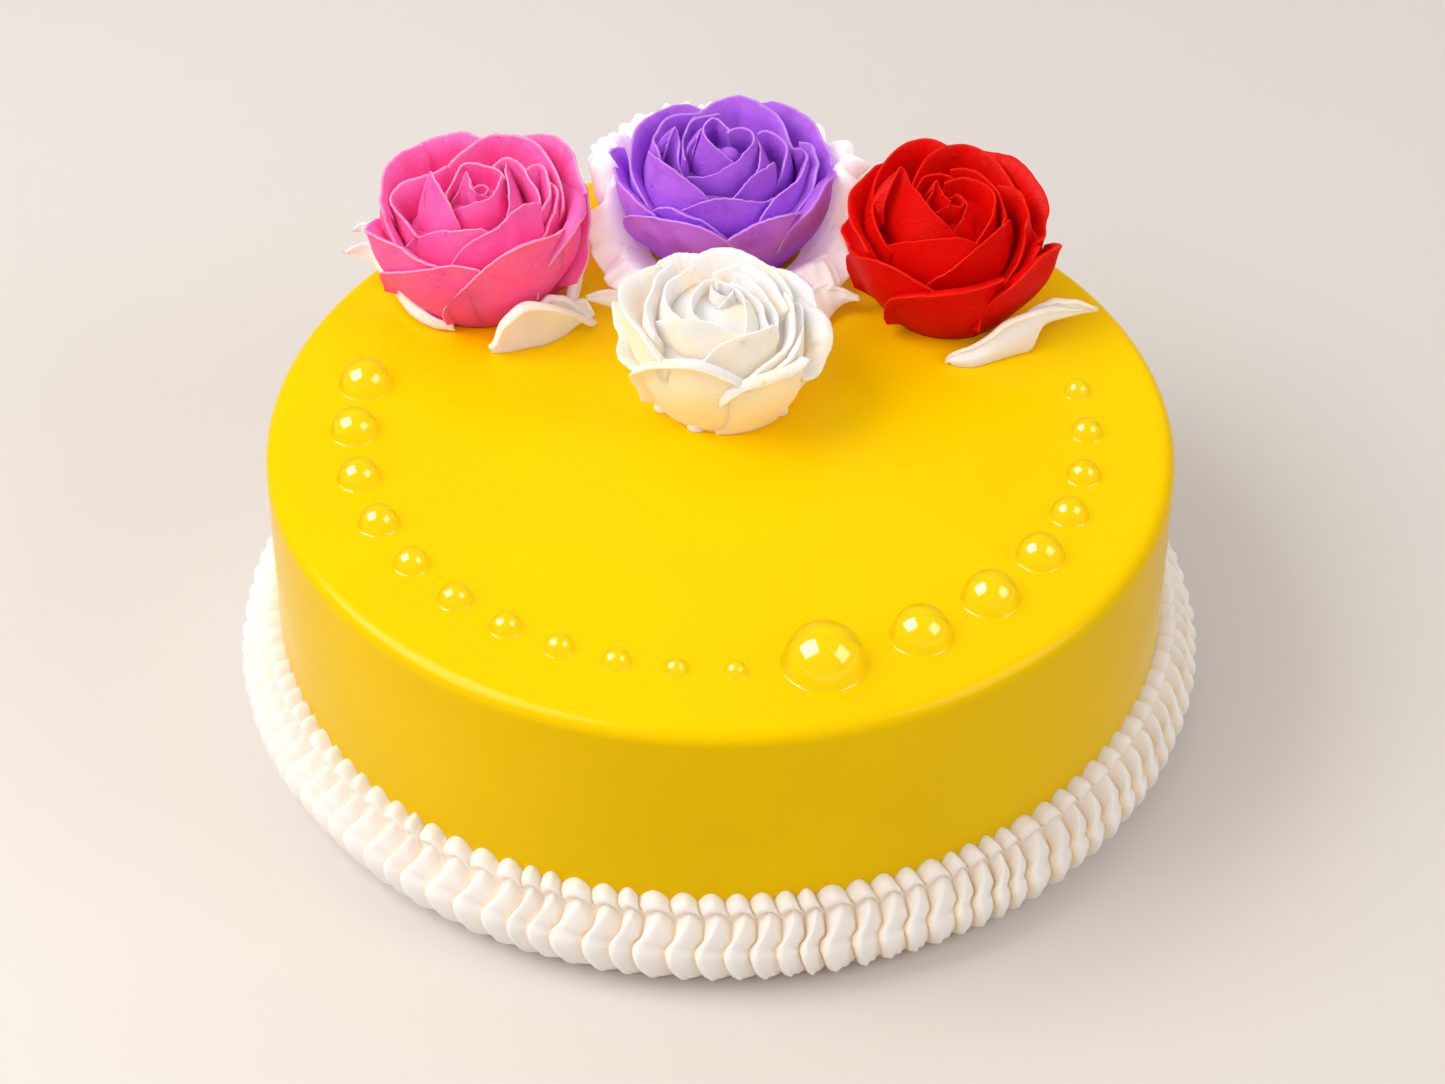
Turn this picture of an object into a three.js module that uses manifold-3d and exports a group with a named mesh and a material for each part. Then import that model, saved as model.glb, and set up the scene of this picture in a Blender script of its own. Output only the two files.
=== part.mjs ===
// A round glazed cake, 20 cm across, with a piped rope of cream round its foot, four piped roses on
// a ruffled collar and pale leaves, and nineteen clear drops of jelly along its upper edge.
// Millimetres, +Z up. The origin is on the cake's axis, on the surface that the cake stands on.
import * as THREE from "three";
import { mergeVertices } from "three/addons/utils/BufferGeometryUtils.js";
import Module from "manifold-3d";

const wasm = await Module();
wasm.setup();

// Driving dimensions
const CAKE = { radius: 100, height: 68, edge: 3.5, foot: 0.8, sides: 64, arcSteps: 2 };
const GAP = 0.3;
const TOP = CAKE.height + GAP;

// The rope's section goes from its foot up over a wide lower bead and a narrow upper one
const ROPE = {
  ruffles: 116,
  wall: CAKE.radius + GAP,
  height: 23.4,
  ruffleDepth: 1.3,
  section: [
    { radius: 102.4, z: 0, ruffled: 0.2 },
    { radius: 108.7, z: 7.5, ruffled: 1 },
    { radius: 106.6, z: 15.5, ruffled: 0.8 },
    { radius: 104, z: 20.8, ruffled: 0.9 },
  ],
};

// A layer of petals is a round body about the rose's axis: its radius at the root and at the rim, how
// far it swells between them, the heights of root and rim, how far the rims of its petals turn out,
// their thickness at the root and where from root to rim they are cut
const LAYERS = {
  outer: { root: 15, rim: 25, swell: 2, low: 0, high: 27, curl: 0.9, thick: 1.8, along: [0, 0.55, 1] },
  middle: { root: 13, rim: 15.5, swell: 4.5, low: 3, high: 32, curl: 0.7, thick: 1.8, along: [0, 1] },
  inner: { root: 11, rim: 10, swell: 4, low: 8, high: 33, curl: 0.5, thick: 1.6, along: [0, 1] },
  bud: { root: 8, rim: 6, swell: 3.5, low: 12, high: 33, curl: 0.3, thick: 1.4, along: [0, 1] },
  heart: { root: 4.5, rim: 2.6, swell: 0.8, low: 17, high: 29, curl: 0.1, thick: 1.2, along: [0, 1] },
};
const PETAL = {
  rimThick: 0.7,
  thinning: 0.7,
  rootWidth: 0.86,
  // A petal is at least this high at its ends, and its root lies this far under its rim or further
  lowest: 2.5,
  leastDepth: 2,
  // The rim turns out over this height
  lip: 5,
  // The petal waves slowly and quickly from end to end
  wave: 0.3,
  quickWave: 0.6,
  waveTurns: [4.5, 9],
  phaseSteps: [2.4, 4.1],
  // Length of a degree on a rim of middle size, and the length along a rim and the most of its steps
  degree: 0.35,
  step: 12,
  mostSteps: 4,
};
const ROSE_CORE = {
  profile: [[0, 0], [14.8, 0], [19.5, 9.5], [15.5, 19], [0, 26]],
  sides: 8,
};

// Each petal: its layer and points of its rim from left to right, as azimuth in degrees, height and
// radius. A last number is a stronger curl. Two curled petals are the same at the heart of each rose.
const HEART = [
  ["heart", [[50, 24, 2.6], [110, 27, 2.6], [190, 28.4, 2.6], [270, 28, 2.7], [335, 25.5, 3.2]]],
  ["heart", [[235, 25, 3.4], [300, 27.6, 2.9], [370, 28.2, 2.6], [440, 27.6, 2.4], [510, 25, 2.4]]],
];
const ROSES = {
  pink: {
    at: [-55.7, 49.5], color: 0xff5aa0, phase: 1,
    petals: [
      ...HEART,
      ["outer", [[196, 3.8, 22.5], [207, 12.3, 24], [229, 18, 24.5], [248, 22.1, 24.5], [262, 23.7, 24],
        [275, 22.4, 23.5], [284, 18.9, 23]]],
      ["outer", [[250, 0.6, 17], [251, 8.3, 21], [265, 17.2, 24], [275, 22.7, 25], [285, 26.7, 25.3],
        [296, 28.8, 25.3], [308, 28.3, 25], [320, 26.6, 24.5], [330, 25.8, 24]]],
      ["outer", [[309, 10.5, 23.6], [311, 16.5, 23.2], [315, 21.7, 25.3], [326, 24.7, 25.5],
        [339, 27.1, 25.6], [362, 24, 25.1], [377, 23, 25.1], [388, 22, 24.9], [396, 21, 23.4]], 2.2],
      ["outer", [[340, 8.1, 24.5], [343, 13.1, 26], [353, 16.9, 26.2], [363, 20, 25.9], [374, 22, 25.9],
        [382, 23, 26]]],
      ["outer", [[12, 23.5, 25.3], [21, 24.5, 25.7], [30, 26, 26.2], [37, 27.5, 26.7], [46, 29, 26.3],
        [55, 28.5, 26.1], [63, 27.5, 26.1], [69, 26.5, 25.2]]],
      ["middle", [[-9, 20.2, 19.5], [-4, 24, 20], [9, 26, 19.6], [23, 28, 19.4], [38, 29, 19.9],
        [50, 29.5, 20.8], [63, 29.5, 21.6], [73, 29.5, 21.2], [83, 29, 21.2], [90, 28.5, 19.7],
        [99, 28.5, 16.2], [112, 28, 13.7], [131, 27, 11.3]]],
      ["outer", [[85, 25, 22.9], [91, 26, 23.7], [96, 26.5, 24.7], [101, 26.5, 25.9], [108, 26, 26.6],
        [117, 25.5, 26.3], [124, 25, 26.2], [130, 24.5, 25.8], [137, 24, 24.5]]],
      ["outer", [[123, 26, 24.7], [132, 27, 24.1], [139, 27.3, 24.2], [146, 27.5, 23.8],
        [155, 27.5, 23], [166, 27, 22.1], [180, 26.7, 21.6], [200, 28.1, 22.3], [204, 25.1, 22.3],
        [209, 22.9, 22], [214, 21.3, 21.5]]],
      ["outer", [[189, 22.5, 20.2], [193, 23.5, 22.4], [199, 24.3, 24.7], [204, 24.3, 26.8],
        [211, 24.5, 26], [218, 24, 24.6], [226, 24.1, 24], [235, 23.3, 23.6], [242, 22.7, 23.2],
        [250, 21.8, 22.6]], 1], ["middle", [[213, 17.1, 20.5], [214, 19.2, 19], [219, 22, 17.5],
        [230, 24.4, 16.8], [244, 27, 16.5], [257, 28.1, 16.3], [269, 28.6, 16.2], [281, 27.8, 16],
        [293, 24.9, 16]]],
      ["middle", [[256, 20, 20], [260, 23.1, 19.5], [267, 26, 19], [276, 27.7, 18], [286, 28.5, 17],
        [296, 29.6, 16], [304, 31.5, 16.4], [320, 31, 15.7], [334, 29.5, 16.8], [335, 26.3, 16.6],
        [336, 22.8, 15.6], [337, 19.2, 14.4]]],
      ["inner", [[190, 15.7, 12.7], [189, 19.5, 12.9], [187, 22.5, 12.7], [184, 25.8, 12.3],
        [181, 29.2, 11.5], [178, 32.7, 10.3], [204, 32, 9.1], [233, 31.6, 10.3], [247, 29.3, 11.2],
        [255, 26.5, 11.8], [260, 23.4, 12.2]]],
      ["middle", [[127, 28, 11.4], [141, 28.5, 11.4], [153, 28.5, 12.3], [164, 28.5, 14.2],
        [169, 28, 16.6], [173, 27, 18.2], [179, 26, 19.2], [192, 25.9, 18.8], [203, 25.3, 18.3],
        [213, 24.4, 17.8], [222, 23, 17.3]]],
      ["bud", [[16, 29.5, 7.4], [38, 30.5, 6.6], [69, 31, 5.6], [95, 31, 6.1], [116, 30.5, 7],
        [141, 30, 6.1], [182, 29, 5.9], [218, 28.5, 8], [226, 26.5, 9]]],
      ["inner", [[348, 25, 15.2], [358, 28, 14.1], [376, 29.5, 12.7], [394, 30.8, 11.6],
        [408, 31.5, 10.5], [418, 30.5, 9], [423, 29.5, 6.6]]],
      ["bud", [[298, 23.7, 11.8], [311, 26.8, 11.8], [319, 28.4, 10.5], [328, 30.5, 9.2],
        [358, 30.5, 7.4], [387, 30.5, 8.1], [411, 30, 10.2]]],
      ["bud", [[212, 23, 7], [206, 25, 6.1], [200, 27, 4.6], [195, 29.7, 3.2], [190, 33, 2.4],
        [231, 31.5, 2.3], [267, 31, 4.2], [291, 29, 3.4], [318, 27.8, 4]]],
      ["bud", [[234, 25.4, 9.8], [241, 27.8, 9], [258, 29.1, 8.6], [278, 30, 7.8], [301, 29.9, 6.6],
        [323, 30.5, 6.2], [354, 30.5, 5.7], [379, 30.5, 6.6]]],
      ["middle", [[337, 24, 16.3], [341, 26.9, 16.8], [358, 27, 16.6], [370, 28, 17], [383, 28.7, 17.3],
        [392, 29, 17.1], [394, 29, 15.5], [392, 29, 13.2], [391, 28.5, 11.2]]],
      ["middle", [[323, 21.8, 18.5], [333, 23.7, 18.8], [346, 25, 18.8], [359, 26, 18.6], [368, 27, 18],
        [377, 27.5, 17.1]]],
    ],
  },
  purple: {
    at: [0.7, 67.4], color: 0x8c50d2, phase: 2,
    petals: [
      ...HEART,
      ["outer", [[207, 8.7, 23.5], [206, 12.9, 25.5], [210, 17.3, 26], [226, 21.2, 26],
        [238, 22.5, 25.8], [252, 22.8, 25.5], [262, 21.6, 25], [269, 19.3, 24.3], [276, 15.9, 23.5]]],
      ["outer", [[266, 13.5, 22.5], [270, 17.9, 24.3], [277, 20.8, 25], [284, 22.8, 25.5],
        [292, 23.9, 25.5], [302, 24.2, 25.5], [315, 21.7, 25], [324, 18, 24.5]]],
      ["outer", [[299, 11.3, 27.2], [301, 12.7, 23.9], [303, 17.3, 25], [308, 20.4, 25.8],
        [316, 22.8, 26], [325, 25.1, 26.2], [333, 26.9, 26.6], [351, 23.5, 26.1], [362, 22, 25]], 1.5],
      ["outer", [[353, 21, 24.9], [365, 22.5, 24.4], [382, 23.5, 24.8], [395, 24.5, 25.5],
        [409, 24.5, 26.2], [419, 24, 26.7], [427, 23.5, 27], [434, 23, 25.8]]],
      ["outer", [[6, 24, 16.3], [19, 26, 16.1], [36, 27, 17.2], [52, 27.5, 18.6], [66, 27.5, 20.1],
        [76, 27, 21.8], [83, 27, 22.2], [91, 27, 21.1], [100, 27, 19.7], [110, 26.5, 17.9],
        [122, 26, 15.8]]],
      ["outer", [[103, 23, 22.6], [110, 23.5, 25.2], [120, 24, 25.6], [134, 24.8, 24.4],
        [150, 25.5, 23.4], [168, 25.5, 22.8], [185, 25.5, 22.5], [200, 24.6, 22.7], [211, 22.8, 22.8],
        [222, 20, 22.6]]],
      ["outer", [[163, 22.5, 24.4], [166, 23, 26.4], [175, 23.5, 27.2], [185, 23.5, 26.6],
        [197, 23.5, 25.9], [210, 24, 25.8], [220, 23.1, 25.4], [229, 21.1, 24.5]]],
      ["middle", [[106, 26, 17], [119, 27, 17.4], [133, 28, 17.5], [149, 28.5, 17], [168, 28.8, 16.6],
        [196, 30.8, 17], [205, 29.2, 17], [216, 27.8, 16.8]]],
      ["inner", [[190, 22.1, 14.6], [187, 25.7, 13.8], [183, 28.9, 13], [179, 31.3, 12.1],
        [176, 32.6, 11.4], [182, 29.5, 11.2], [203, 28.3, 11.8], [216, 26, 12.5], [226, 24.2, 13]]],
      ["middle", [[186, 9.2, 17.1], [187, 14.1, 18.9], [187, 19.2, 19.4], [188, 24.1, 18.9],
        [191, 28.8, 18.1], [213, 31, 17.8], [229, 30.1, 17.5], [242, 28.3, 17.2], [252, 26.2, 17],
        [260, 23.3, 17]]],
      ["bud", [[189, 20.4, 9.9], [189, 24.8, 9.9], [190, 27.3, 9], [192, 28.4, 7.4], [193, 30.8, 6.3],
        [175, 32.6, 5.5], [224, 32, 5.6], [253, 30.9, 6.2], [274, 29.5, 7], [291, 27.9, 8]]],
      ["bud", [[212, 22.6, 12], [226, 25.4, 11.6], [244, 26.2, 11], [258, 27.4, 10.6], [272, 29.1, 10],
        [289, 30.1, 9.2], [309, 31.2, 8], [346, 31, 6.4], [370, 31.5, 5.6], [386, 32, 4.1],
        [401, 32, 2.2], [423, 31.5, 0.6]]],
      ["bud", [[15, 30.5, 1.5], [85, 31.5, 2.9], [106, 32, 4.8], [124, 32.5, 5.7], [139, 32, 6.4],
        [160, 31, 5.8]]],
      ["inner", [[96, 28, 13.5], [111, 29, 11.8], [127, 29.7, 11], [145, 29.8, 10.7], [168, 29.5, 10.3],
        [190, 28.5, 10.1], [218, 29.2, 11.5]]],
      ["inner", [[271, 21.4, 15.5], [277, 24, 15], [287, 26.4, 14.6], [301, 28.7, 14],
        [325, 28.9, 13.4], [327, 25.2, 13.7], [328, 21, 13.1], [329, 17.2, 12.2]]],
      ["inner", [[319, 20.8, 15.6], [326, 24.2, 15], [336, 27.3, 14.6], [353, 28.5, 14.1],
        [368, 29, 13.3], [378, 29.5, 11.8], [386, 29.5, 10], [389, 29, 7.9]]],
      ["bud", [[284, 23, 13.5], [293, 25.5, 13], [305, 27.8, 12.3], [317, 29.7, 11.2], [342, 29.5, 8.2],
        [367, 30, 6.7], [392, 30, 6]]],
      ["middle", [[290, 18.3, 21], [295, 22.2, 20.8], [304, 25, 20.5], [315, 26, 20], [329, 26.5, 19.5],
        [345, 26.6, 19], [363, 25.5, 18.9], [366, 26.5, 17.6], [366, 26.5, 15.5]]],
      ["outer", [[313, 19.8, 23.4], [322, 22.3, 23], [332, 24.2, 22.6], [344, 25.6, 22],
        [362, 24.5, 21.5], [370, 25.5, 20.8], [374, 26, 19.1], [376, 26, 17.1]]],
      ["middle", [[228, 16.4, 21], [236, 20.6, 20], [246, 23.4, 19.4], [258, 25.7, 19],
        [273, 26.4, 18.7], [287, 25.4, 18.5], [299, 23.7, 18.3], [313, 23.2, 18]]],
      ["outer", [[220, 19.2, 23.5], [228, 22.3, 23], [237, 23.7, 22.6], [246, 23.1, 22.2],
        [256, 21.8, 22], [264, 19.2, 21.5], [271, 16.4, 21]]],
    ],
  },
  white: {
    at: [0.2, 12.5], color: 0xf8f4f0, phase: 3,
    petals: [
      ...HEART,
      ["outer", [[211, 4.5, 20.5], [209, 9.5, 21.8], [210, 13.9, 23.5], [221, 18.4, 23.8],
        [231, 21.5, 23.7], [242, 23.8, 23.7], [253, 25.1, 24], [263, 24.1, 24], [271, 22.4, 24],
        [279, 19.9, 23.5], [288, 16.1, 22.5]], 2],
      ["outer", [[262, 0.9, 15.2], [262, 4.5, 16.8], [266, 8.9, 18], [272, 16.3, 23.5],
        [280, 19.3, 24.5], [289, 20.8, 25], [300, 21.2, 25], [310, 21.1, 25.2], [318, 22, 25.4]], 2.4],
      ["outer", [[316, 16.2, 24.8], [324, 17.1, 25.8], [333, 18.2, 25.8], [341, 19.7, 25.5],
        [345, 21.5, 24.9], [355, 22, 23.4], [363, 22, 21.4], [369, 22, 19.7], [378, 21.5, 18.6]], 2],
      ["outer", [[10, 20.5, 21.8], [18, 22, 21.4], [27, 23, 20.7], [36, 23.5, 19.9], [47, 23.5, 19.2],
        [56, 23.5, 18.3], [63, 23, 16]]],
      ["middle", [[4, 24, 15.3], [24, 24.5, 15.5], [41, 25, 15.9], [55, 25, 16.8], [67, 25, 18.2],
        [77, 25, 19.1], [87, 25, 19.4], [97, 24.5, 19.8], [105, 24, 19.4], [114, 23.5, 18.4]]],
      ["outer", [[101, 22, 19.6], [106, 23, 20.9], [113, 23.3, 21.8], [121, 23.3, 22], [129, 23, 22.3],
        [137, 22.5, 21.7]]],
      ["outer", [[133, 23.5, 21.3], [142, 24, 21.8], [151, 24, 22.7], [160, 24, 23.4], [170, 24, 23.1],
        [183, 24.5, 22.6], [192, 24.3, 21.9], [204, 24, 21.2], [217, 23.6, 21.6], [230, 23, 22.5],
        [240, 22, 23.2]]],
      ["outer", [[163, 19, 24.9], [173, 19, 24.5], [181, 18.5, 24], [189, 18, 23.3], [193, 16, 23.9],
        [198, 14.4, 23.5], [206, 13.7, 22.6], [215, 13.2, 21.6]]],
      ["middle", [[284, 16.7, 20.8], [293, 19.9, 20.6], [304, 21.5, 20.3], [314, 22.9, 20],
        [326, 24, 18.7], [341, 25, 16.9], [357, 25.5, 15.4], [370, 25.5, 14.3]]],
      ["middle", [[301, 20.2, 22.8], [310, 21.9, 22.5], [319, 24.2, 22], [342, 22, 18.8],
        [356, 22.5, 17.7], [370, 22.5, 17]]],
      ["middle", [[252, 19.1, 18.6], [259, 22.3, 18], [267, 25.1, 17.3], [277, 26.4, 16.6],
        [288, 27.1, 16], [302, 26.4, 15.3], [318, 26, 15.1], [320, 23, 15.8], [321, 18.9, 15.1],
        [322, 14.6, 13.3]]],
      ["middle", [[194, 16.2, 16.8], [196, 20.2, 16.7], [200, 22.9, 15.4], [214, 25.4, 14.2],
        [231, 27.7, 13.5], [248, 28.4, 13], [264, 27.6, 12.9], [277, 26.1, 13], [290, 23.8, 13.2],
        [299, 21, 13.5]]],
      ["middle", [[129, 25, 17.5], [145, 25.8, 16.6], [163, 26.3, 16.2], [182, 26.3, 16.5],
        [198, 26, 17.7], [209, 25, 18.4], [218, 24, 18.7]]],
      ["inner", [[121, 27, 11.8], [142, 27.5, 11.7], [163, 27.8, 12], [184, 27.8, 12.8],
        [201, 27.3, 13.1], [213, 26.5, 13.1], [225, 25.5, 12.7]]],
      ["bud", [[120, 28.5, 3.9], [169, 29, 4.4], [199, 29, 6.6], [215, 28.5, 8.9], [230, 27.8, 10.2],
        [243, 27, 10.7]]],
      ["bud", [[286, 25.5, 15.9], [293, 27, 13.3], [303, 28, 9.8], [317, 28.6, 6.4], [338, 29, 3.4],
        [386, 29.3, 1.1], [507, 29.3, 1.5]]],
      ["inner", [[313, 25.3, 15.5], [321, 26.5, 12.2], [334, 27.3, 9.1], [353, 27.8, 6.2],
        [381, 28, 4.3], [418, 28, 3.5]]],
      ["inner", [[322, 25, 15.6], [337, 26, 12.4], [358, 26.5, 9.9], [383, 27, 8.4], [410, 27, 8],
        [434, 27, 8]]],
      ["middle", [[-11, 24.7, 14.5], [9, 25.5, 13.2], [27, 26, 12.7], [47, 26, 13], [63, 26, 13.1],
        [75, 26, 12.8], [87, 26, 11.2], [106, 26.3, 8.5]]],
    ],
  },
  red: {
    at: [52, 46.9], color: 0xe01408, phase: 4,
    petals: [
      ...HEART,
      ["outer", [[222, -4.8, 14.4], [222, 0.4, 18.4], [225, 6.9, 21.7], [230, 12.3, 24],
        [237, 15.9, 25], [249, 18.4, 25.2], [259, 19.6, 25.2], [269, 20.8, 25.2], [279, 21.2, 25.2],
        [289, 21.2, 24.7], [298, 21, 24]], 1.6],
      ["outer", [[188, 5.4, 22.5], [191, 11.6, 24], [195, 16.9, 24.6], [214, 21.9, 24.9],
        [227, 23.3, 24.9], [238, 23, 24.7], [246, 22, 24.5], [253, 20.5, 24], [261, 18.1, 23]]],
      ["outer", [[167, 20, 22.9], [175, 20.5, 23.8], [185, 20.5, 25.3], [196, 20.5, 25.3],
        [200, 18.9, 24], [213, 20.5, 23.7], [223, 20.3, 23]]],
      ["outer", [[127, 25, 23.1], [135, 25.7, 23.7], [145, 26, 23.5], [158, 26.3, 23.1],
        [171, 26.3, 23.5], [181, 26, 23.7], [194, 25.5, 23.8], [207, 25, 24.4], [217, 24, 25.1]]],
      ["middle", [[85, 27, 19.8], [92, 28, 21.9], [100, 28.5, 23.5], [108, 28.5, 23.9],
        [117, 28.3, 23.5], [128, 28.2, 22.1], [142, 28, 20.3], [160, 27.7, 19.1], [177, 27.5, 18.8],
        [192, 26.6, 18.8], [205, 25.3, 18.8], [215, 23.6, 18.8], [222, 22, 18.3]]],
      ["middle", [[29, 24, 17], [45, 26, 18.4], [58, 27.3, 20.1], [68, 28, 21.1], [78, 28.5, 21.8],
        [85, 28.8, 21.2], [94, 29, 19.7], [105, 29, 16.9], [120, 29, 13.8], [139, 28.5, 11.5],
        [162, 28, 9.9]]],
      ["outer", [[331, 24.5, 22.5], [358, 21.5, 21.4], [366, 23, 21.9], [374, 25, 21.8],
        [386, 26.5, 21.9], [399, 27.5, 22.3], [410, 28, 22.5], [420, 28, 21.8], [429, 27.5, 21.3]]],
      ["middle", [[300, 16, 21], [309, 19.2, 20.3], [318, 22, 19.8], [328, 24.3, 19], [335, 27.7, 18.3],
        [360, 26.3, 16.9], [372, 27.5, 15.8], [381, 28, 13.9], [390, 28, 11.6]]],
      ["outer", [[299, 16.3, 22.6], [309, 18.7, 22.6], [319, 20.2, 22.4], [327, 21.4, 22],
        [333, 23, 21.6], [344, 22.5, 19.6], [349, 23, 18.1], [350, 22.5, 16.5]]],
      ["outer", [[286, 6.4, 21.9], [288, 10.5, 21.2], [291, 15.9, 23.8], [299, 19.1, 24.7],
        [307, 21.4, 25], [316, 23.5, 25.5], [323, 24.4, 26.2], [333, 23.8, 27], [347, 20, 23.6],
        [348, 19, 21.1]]],
      ["middle", [[251, 17.4, 20], [258, 20.2, 19.7], [267, 22.5, 19.3], [276, 25.1, 18.8],
        [287, 27.1, 18], [298, 28.5, 17], [310, 29.3, 16], [328, 28, 14.6], [329, 24.4, 15.1],
        [330, 20, 14.7], [331, 15.5, 13.6]]],
      ["middle", [[179, 10.3, 20.5], [193, 17, 19.5], [210, 21.5, 18.7], [224, 24.8, 18],
        [238, 27, 17.3], [254, 28.8, 17], [269, 29.2, 16.8], [282, 28, 16.7], [296, 24.8, 16.2]]],
      ["inner", [[190, 23.3, 15.8], [187, 27.1, 15.3], [181, 30.6, 14.1], [173, 32.9, 13.1],
        [163, 34.4, 12.2], [174, 32.5, 10.4], [209, 32.7, 9.7], [236, 31.6, 10.2], [255, 30, 11.2],
        [271, 26.8, 12]]],
      ["bud", [[212, 27, 9], [205, 28.8, 7], [198, 30.6, 5.5], [190, 31.9, 4.4], [180, 33, 3.5],
        [200, 31.3, 3.2], [234, 30.7, 3.6], [259, 30.2, 4.2]]],
      ["bud", [[265, 24.3, 12], [270, 26.9, 10.6], [278, 28.8, 9.2], [295, 29, 6.1], [332, 28.7, 3.4],
        [378, 28.5, 2], [434, 28.5, 1.4]]],
      ["bud", [[229, 27, 7.7], [235, 28.3, 6.1], [252, 29, 4.6], [282, 29, 4.1], [314, 28.8, 3.5]]],
      ["inner", [[290, 23.4, 13], [302, 26, 12.3], [316, 28.1, 11.5], [338, 28.6, 10.1], [365, 29, 9.1],
        [386, 29.5, 8.2], [405, 30, 7.3], [426, 30, 6.9], [447, 30, 5.5], [481, 30, 4.1]]],
      ["bud", [[89, 29.7, 6.3], [109, 30.3, 7.4], [131, 30.5, 7.8], [152, 30.5, 8.4], [173, 30, 9],
        [196, 29.5, 9.1], [216, 29, 9.6]]],
      ["inner", [[309, 26, 15], [321, 29, 14], [357, 27.5, 11.4], [377, 28.5, 10.6], [398, 29, 10.2],
        [417, 29.5, 10.3], [435, 29.5, 10.6], [452, 29.5, 10.2]]],
    ],
  },
};

// The ruffled collar that the purple rose stands in: a bowl that is low in front and high at the
// sides. Its rim is given as azimuth in degrees and height.
const COLLAR = {
  inside: 18.6,
  outside: 32.5,
  thick: 1.6,
  rim: [
    [10, 21], [32, 18], [46, 17], [75, 18], [105, 19], [118, 20.5], [140, 19], [155, 20], [168, 22],
    [183, 25], [196, 17], [206, 10], [217, 7], [230, 5.5], [250, 5], [270, 5], [290, 5], [306, 6],
    [316, 8.5], [328, 7.5], [340, 14], [350, 22], [357, 24.5],
  ],
  bowl: 1.7,
  lip: 0.6,
  ruffles: 17,
  ruffleDepth: 1,
  // Each neighbour pushes the rim in: azimuth, how far and over how many degrees
  dents: [[198, 2.2, 13], [338, 5, 15], [270, 3.5, 24]],
};

// Each leaf is a thin sheet between two curves from its root to its tip. The middles of its lower
// and upper edges and the two ends are points [x, y, z] over the cake's top.
const LEAVES = {
  pink_front: {
    root: [-52.2, 24.5, 0.4], low: [-41.2, 27.9, 0.2],
    high: [-42.9, 27.3, 13.3], tip: [-28.7, 36.5, 0.8],
  },
  pink_right: {
    root: [-33, 58, 1], low: [-32.5, 48, 0.9],
    high: [-31.3, 47, 7.5], tip: [-30.6, 39, 1.4],
  },
  pink_left: {
    root: [-61, 33.6, 0.8], low: [-76.5, 41, 1],
    high: [-80, 41.5, 6], tip: [-87.3, 50.5, 10],
  },
  pink_rear_left: {
    root: [-73.5, 67, 1], low: [-80, 59.5, 3],
    high: [-82.5, 65.5, 8], tip: [-85.5, 59, 9.5],
  },
  pink_rear: {
    root: [-62, 73.5, 1], low: [-50, 77, 6],
    high: [-61, 80, 13], tip: [-53.3, 83.4, 21.5],
  },
  white_left: {
    root: [-17, 33, 1], low: [-25.2, 38.7, 1.6],
    high: [-21.9, 42, 5.4], tip: [-30.9, 41.2, 4.1],
  },
  white_right: {
    root: [17, 33, 1], low: [25.8, 38.7, 1.6],
    high: [22.3, 43, 5.4], tip: [31.6, 41.8, 4.1],
  },
  red_front: {
    root: [50.6, 22.5, 0.5], low: [66.2, 25.7, 0.2],
    high: [63.4, 27.4, 9.4], tip: [85.4, 37.6, 5],
  },
  red_rear: {
    root: [38, 73, 1], low: [45, 75, 8],
    high: [38, 77.5, 15], tip: [48, 81, 22],
  },
};
const LEAF = { thick: 1, bulge: 1.6, wave: 0.5, waves: 1.5, across: [0, 0.5, 1], along: [0, 0.3, 0.65, 1] };

// The clear drops along the upper edge: azimuth and radius of each, on one ring
const DROP_RING = 80.5;
const DROPS = [
  [170.1, 6.0], [182, 5.4], [193.7, 4.7], [205.2, 4.4], [216.1, 3.8], [226.7, 3.7],
  [236.7, 3.4], [245.8, 3.2], [254.8, 3.1], [263.7, 2.6], [272.4, 2.4],
  [285.5, 8.9], [301.2, 6.6], [314.7, 6.2], [327.3, 5.2], [338.3, 4.1], [348.1, 3.7],
  [358.8, 3.5], [9.2, 3.0],
];
const DROP = { height: 1.02, foot: 0.96, start: 0.06, sides: 8, rings: 2 };

const CREAM = { color: 0xf6f1ea, roughness: 0.5, metalness: 0 };
const GLAZE = { color: 0xffd200, roughness: 0.2, metalness: 0 };
const JELLY = { color: 0xffe04a, roughness: 0.05, metalness: 0 };

const radians = THREE.MathUtils.degToRad;
const mix = THREE.MathUtils.lerp;

// Turns a geometry's shared corners into a solid that can be joined to others.
function solidOf(geometry) {
  const bare = geometry.clone();
  bare.deleteAttribute("normal");
  bare.deleteAttribute("uv");
  const merged = mergeVertices(bare, 1e-4);
  return new wasm.Manifold(
    new wasm.Mesh({
      numProp: 3,
      vertProperties: merged.attributes.position.array,
      triVerts: new Uint32Array(merged.index.array),
    }),
  );
}

// Joins closed geometries into one, cuts it level at its foot and fills the small hollows in it.
function joined(geometries) {
  const whole = geometries.map(solidOf).reduce((sum, next) => sum.add(next)).trimByPlane([0, 0, 1], 0);
  const [outside] = whole.decompose().toSorted((a, b) => b.volume() - a.volume());
  const mesh = outside.getMesh();
  const geometry = new THREE.BufferGeometry();
  geometry.setAttribute("position", new THREE.BufferAttribute(mesh.vertProperties, 3));
  geometry.setIndex(new THREE.BufferAttribute(mesh.triVerts, 1));
  return geometry;
}

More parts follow.
